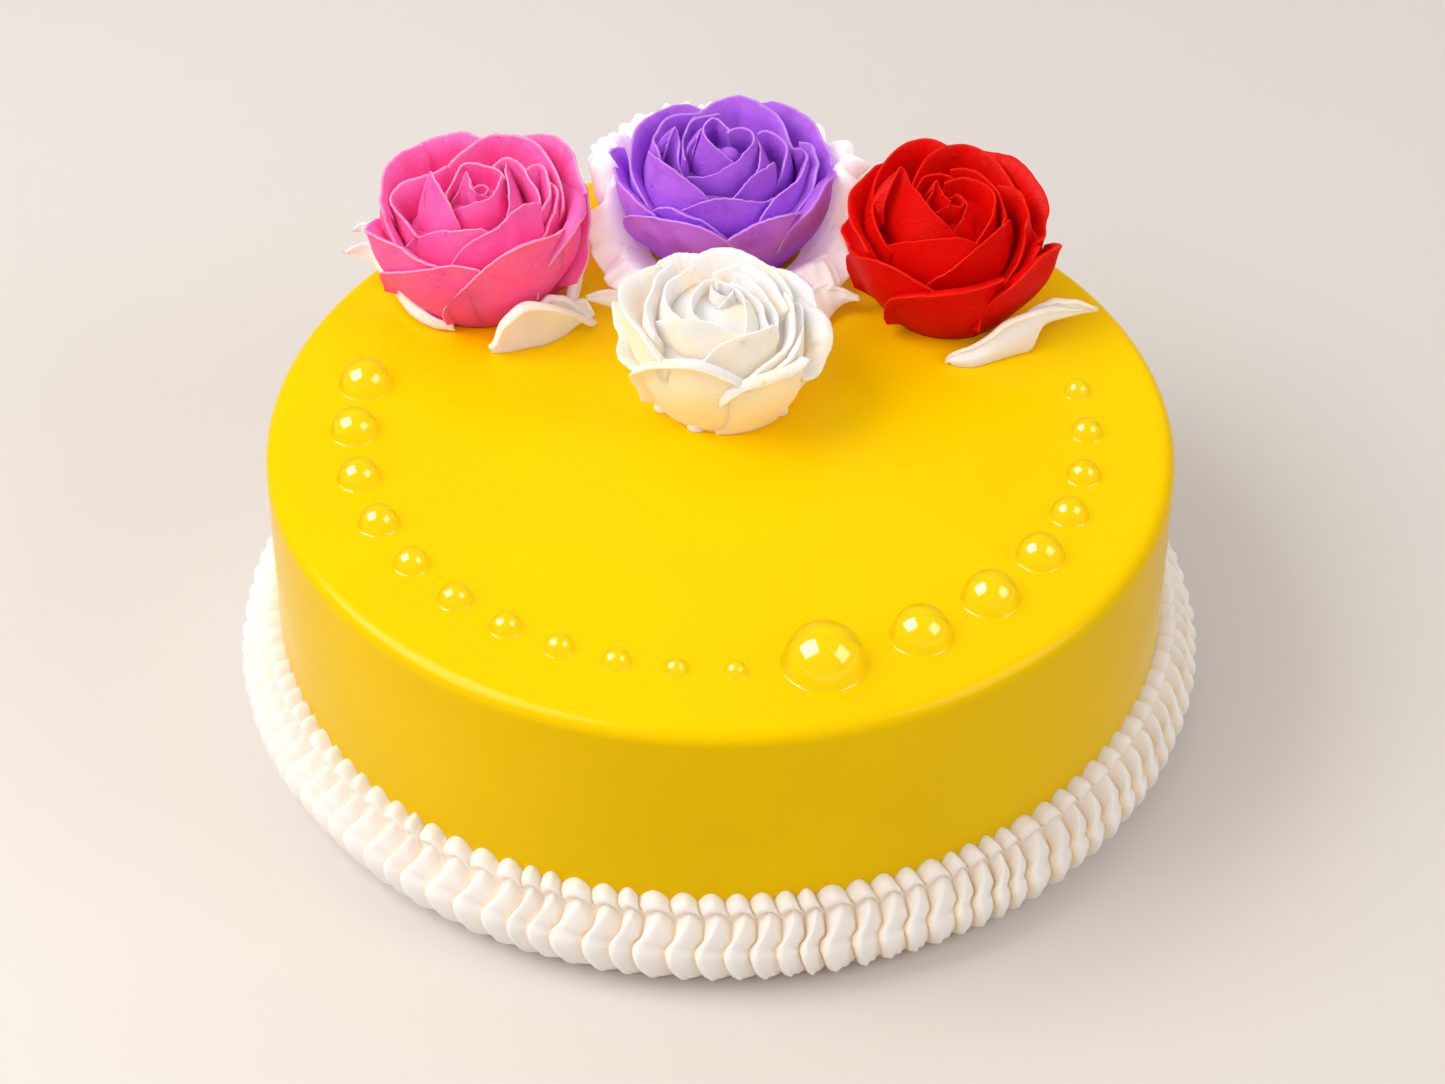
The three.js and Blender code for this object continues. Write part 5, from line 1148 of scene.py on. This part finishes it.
def make_camera():
    """The camera of the photograph: its view direction from yaw and pitch, turned by roll."""
    yaw, pitch, roll = CAMERA["yaw"], CAMERA["pitch"], CAMERA["roll"]
    level = math.cos(pitch)
    forward = np.array([math.sin(yaw) * level, math.cos(yaw) * level, -math.sin(pitch)])
    right = np.cross(forward, (0, 0, 1))
    right /= np.linalg.norm(right)
    up = np.cross(right, forward)
    turned_right = right * math.cos(roll) + up * math.sin(roll)
    turned_up = up * math.cos(roll) - right * math.sin(roll)
    data = bpy.data.cameras.new("photo_camera")
    data.sensor_width = CAMERA["sensor"]
    data.lens = CAMERA["focal"] * CAMERA["sensor"] / CAMERA["image_width"]
    camera = bpy.data.objects.new("photo_camera", data)
    place = np.array(CAMERA["place"]) * MM
    rows = np.stack([turned_right, turned_up, -forward, place], 1).tolist()
    camera.matrix_world = Matrix([*rows, [0, 0, 0, 1]])
    bpy.context.scene.collection.objects.link(camera)
    bpy.context.scene.camera = camera


def make_softbox(name, direction, distance, size, watts, glossy=True, diffuse=True):
    """A square soft light that looks at the cake's top from a direction. Glossy and diffuse say
    whether it shows in the gloss and whether it lights plain surfaces."""
    data = bpy.data.lights.new(name, "AREA")
    data.shape = "SQUARE"
    data.size = size
    data.energy = watts
    light = bpy.data.objects.new(name, data)
    towards = Vector(direction).normalized()
    light.location = Vector((0, 0, CAKE_HIGH.z)) + towards * distance
    light.rotation_mode = "QUATERNION"
    light.rotation_quaternion = towards.to_track_quat("Z", "Y")
    light.visible_glossy = glossy
    light.visible_diffuse = diffuse
    bpy.context.scene.collection.objects.link(light)


class CAKE_OT_stage(bpy.types.Operator):
    """Makes the floor, the lights and the camera"""

    bl_idname = "cake.stage"
    bl_label = "Stage"

    def execute(self, context):
        mesh = bpy.data.meshes.new("floor")
        mesh.from_pydata([(-4, -3, 0), (4, -3, 0), (4, 6, 0), (-4, 6, 0)], [], [(0, 1, 2, 3)])
        mesh.materials.append(floor_material())
        floor = bpy.data.objects.new("floor", mesh)
        context.scene.collection.objects.link(floor)
        for name, light in SOFTBOXES.items():
            make_softbox(name, **light)
        world = bpy.data.worlds.new("soft_studio")
        world.use_nodes = True
        tree = world.node_tree
        background = tree.nodes["Background"]
        background.inputs["Color"].default_value = (*STUDIO["colour"], 1)
        seen = ramp(tree, tree.nodes.new("ShaderNodeLightPath").outputs["Is Glossy Ray"], 0, 1)
        seen.node.inputs["To Min"].default_value = STUDIO["light"]
        seen.node.inputs["To Max"].default_value = STUDIO["gloss"]
        tree.links.new(seen, background.inputs["Strength"])
        context.scene.world = world
        context.scene.view_settings.view_transform = "Standard"
        make_camera()
        return {"FINISHED"}


class CAKE_PT_panel(bpy.types.Panel):
    """Lists the cake's sizes, colours and pieces"""

    bl_idname = "CAKE_PT_panel"
    bl_label = "Flower Cake"
    bl_space_type = "VIEW_3D"
    bl_region_type = "UI"
    bl_category = "Cake"

    def draw(self, context):
        settings = context.scene.flower_cake
        for name in settings.bl_rna.properties.keys():
            if name not in {"rna_type", "name"}:
                self.layout.prop(settings, name)
        for operator in OPERATORS:
            self.layout.operator(operator.bl_idname)


OPERATORS = (
    CAKE_OT_stage,
    CAKE_OT_glazed_body,
    CAKE_OT_piped_rope,
    CAKE_OT_ruffled_collar,
    CAKE_OT_piped_roses,
    CAKE_OT_pale_leaves,
    CAKE_OT_jelly_drops,
)


def register():
    """Registers the settings, the operators and the panel."""
    for made in (CakeSettings, *OPERATORS, CAKE_PT_panel):
        bpy.utils.register_class(made)
    bpy.types.Scene.flower_cake = PointerProperty(type=CakeSettings)


def unregister():
    """Takes back what register did."""
    del bpy.types.Scene.flower_cake
    for made in reversed((CakeSettings, *OPERATORS, CAKE_PT_panel)):
        bpy.utils.unregister_class(made)


def main():
    register()
    for operator in OPERATORS:
        group, name = operator.bl_idname.split(".")
        getattr(getattr(bpy.ops, group), name)()


if __name__ == "__main__":
    main()
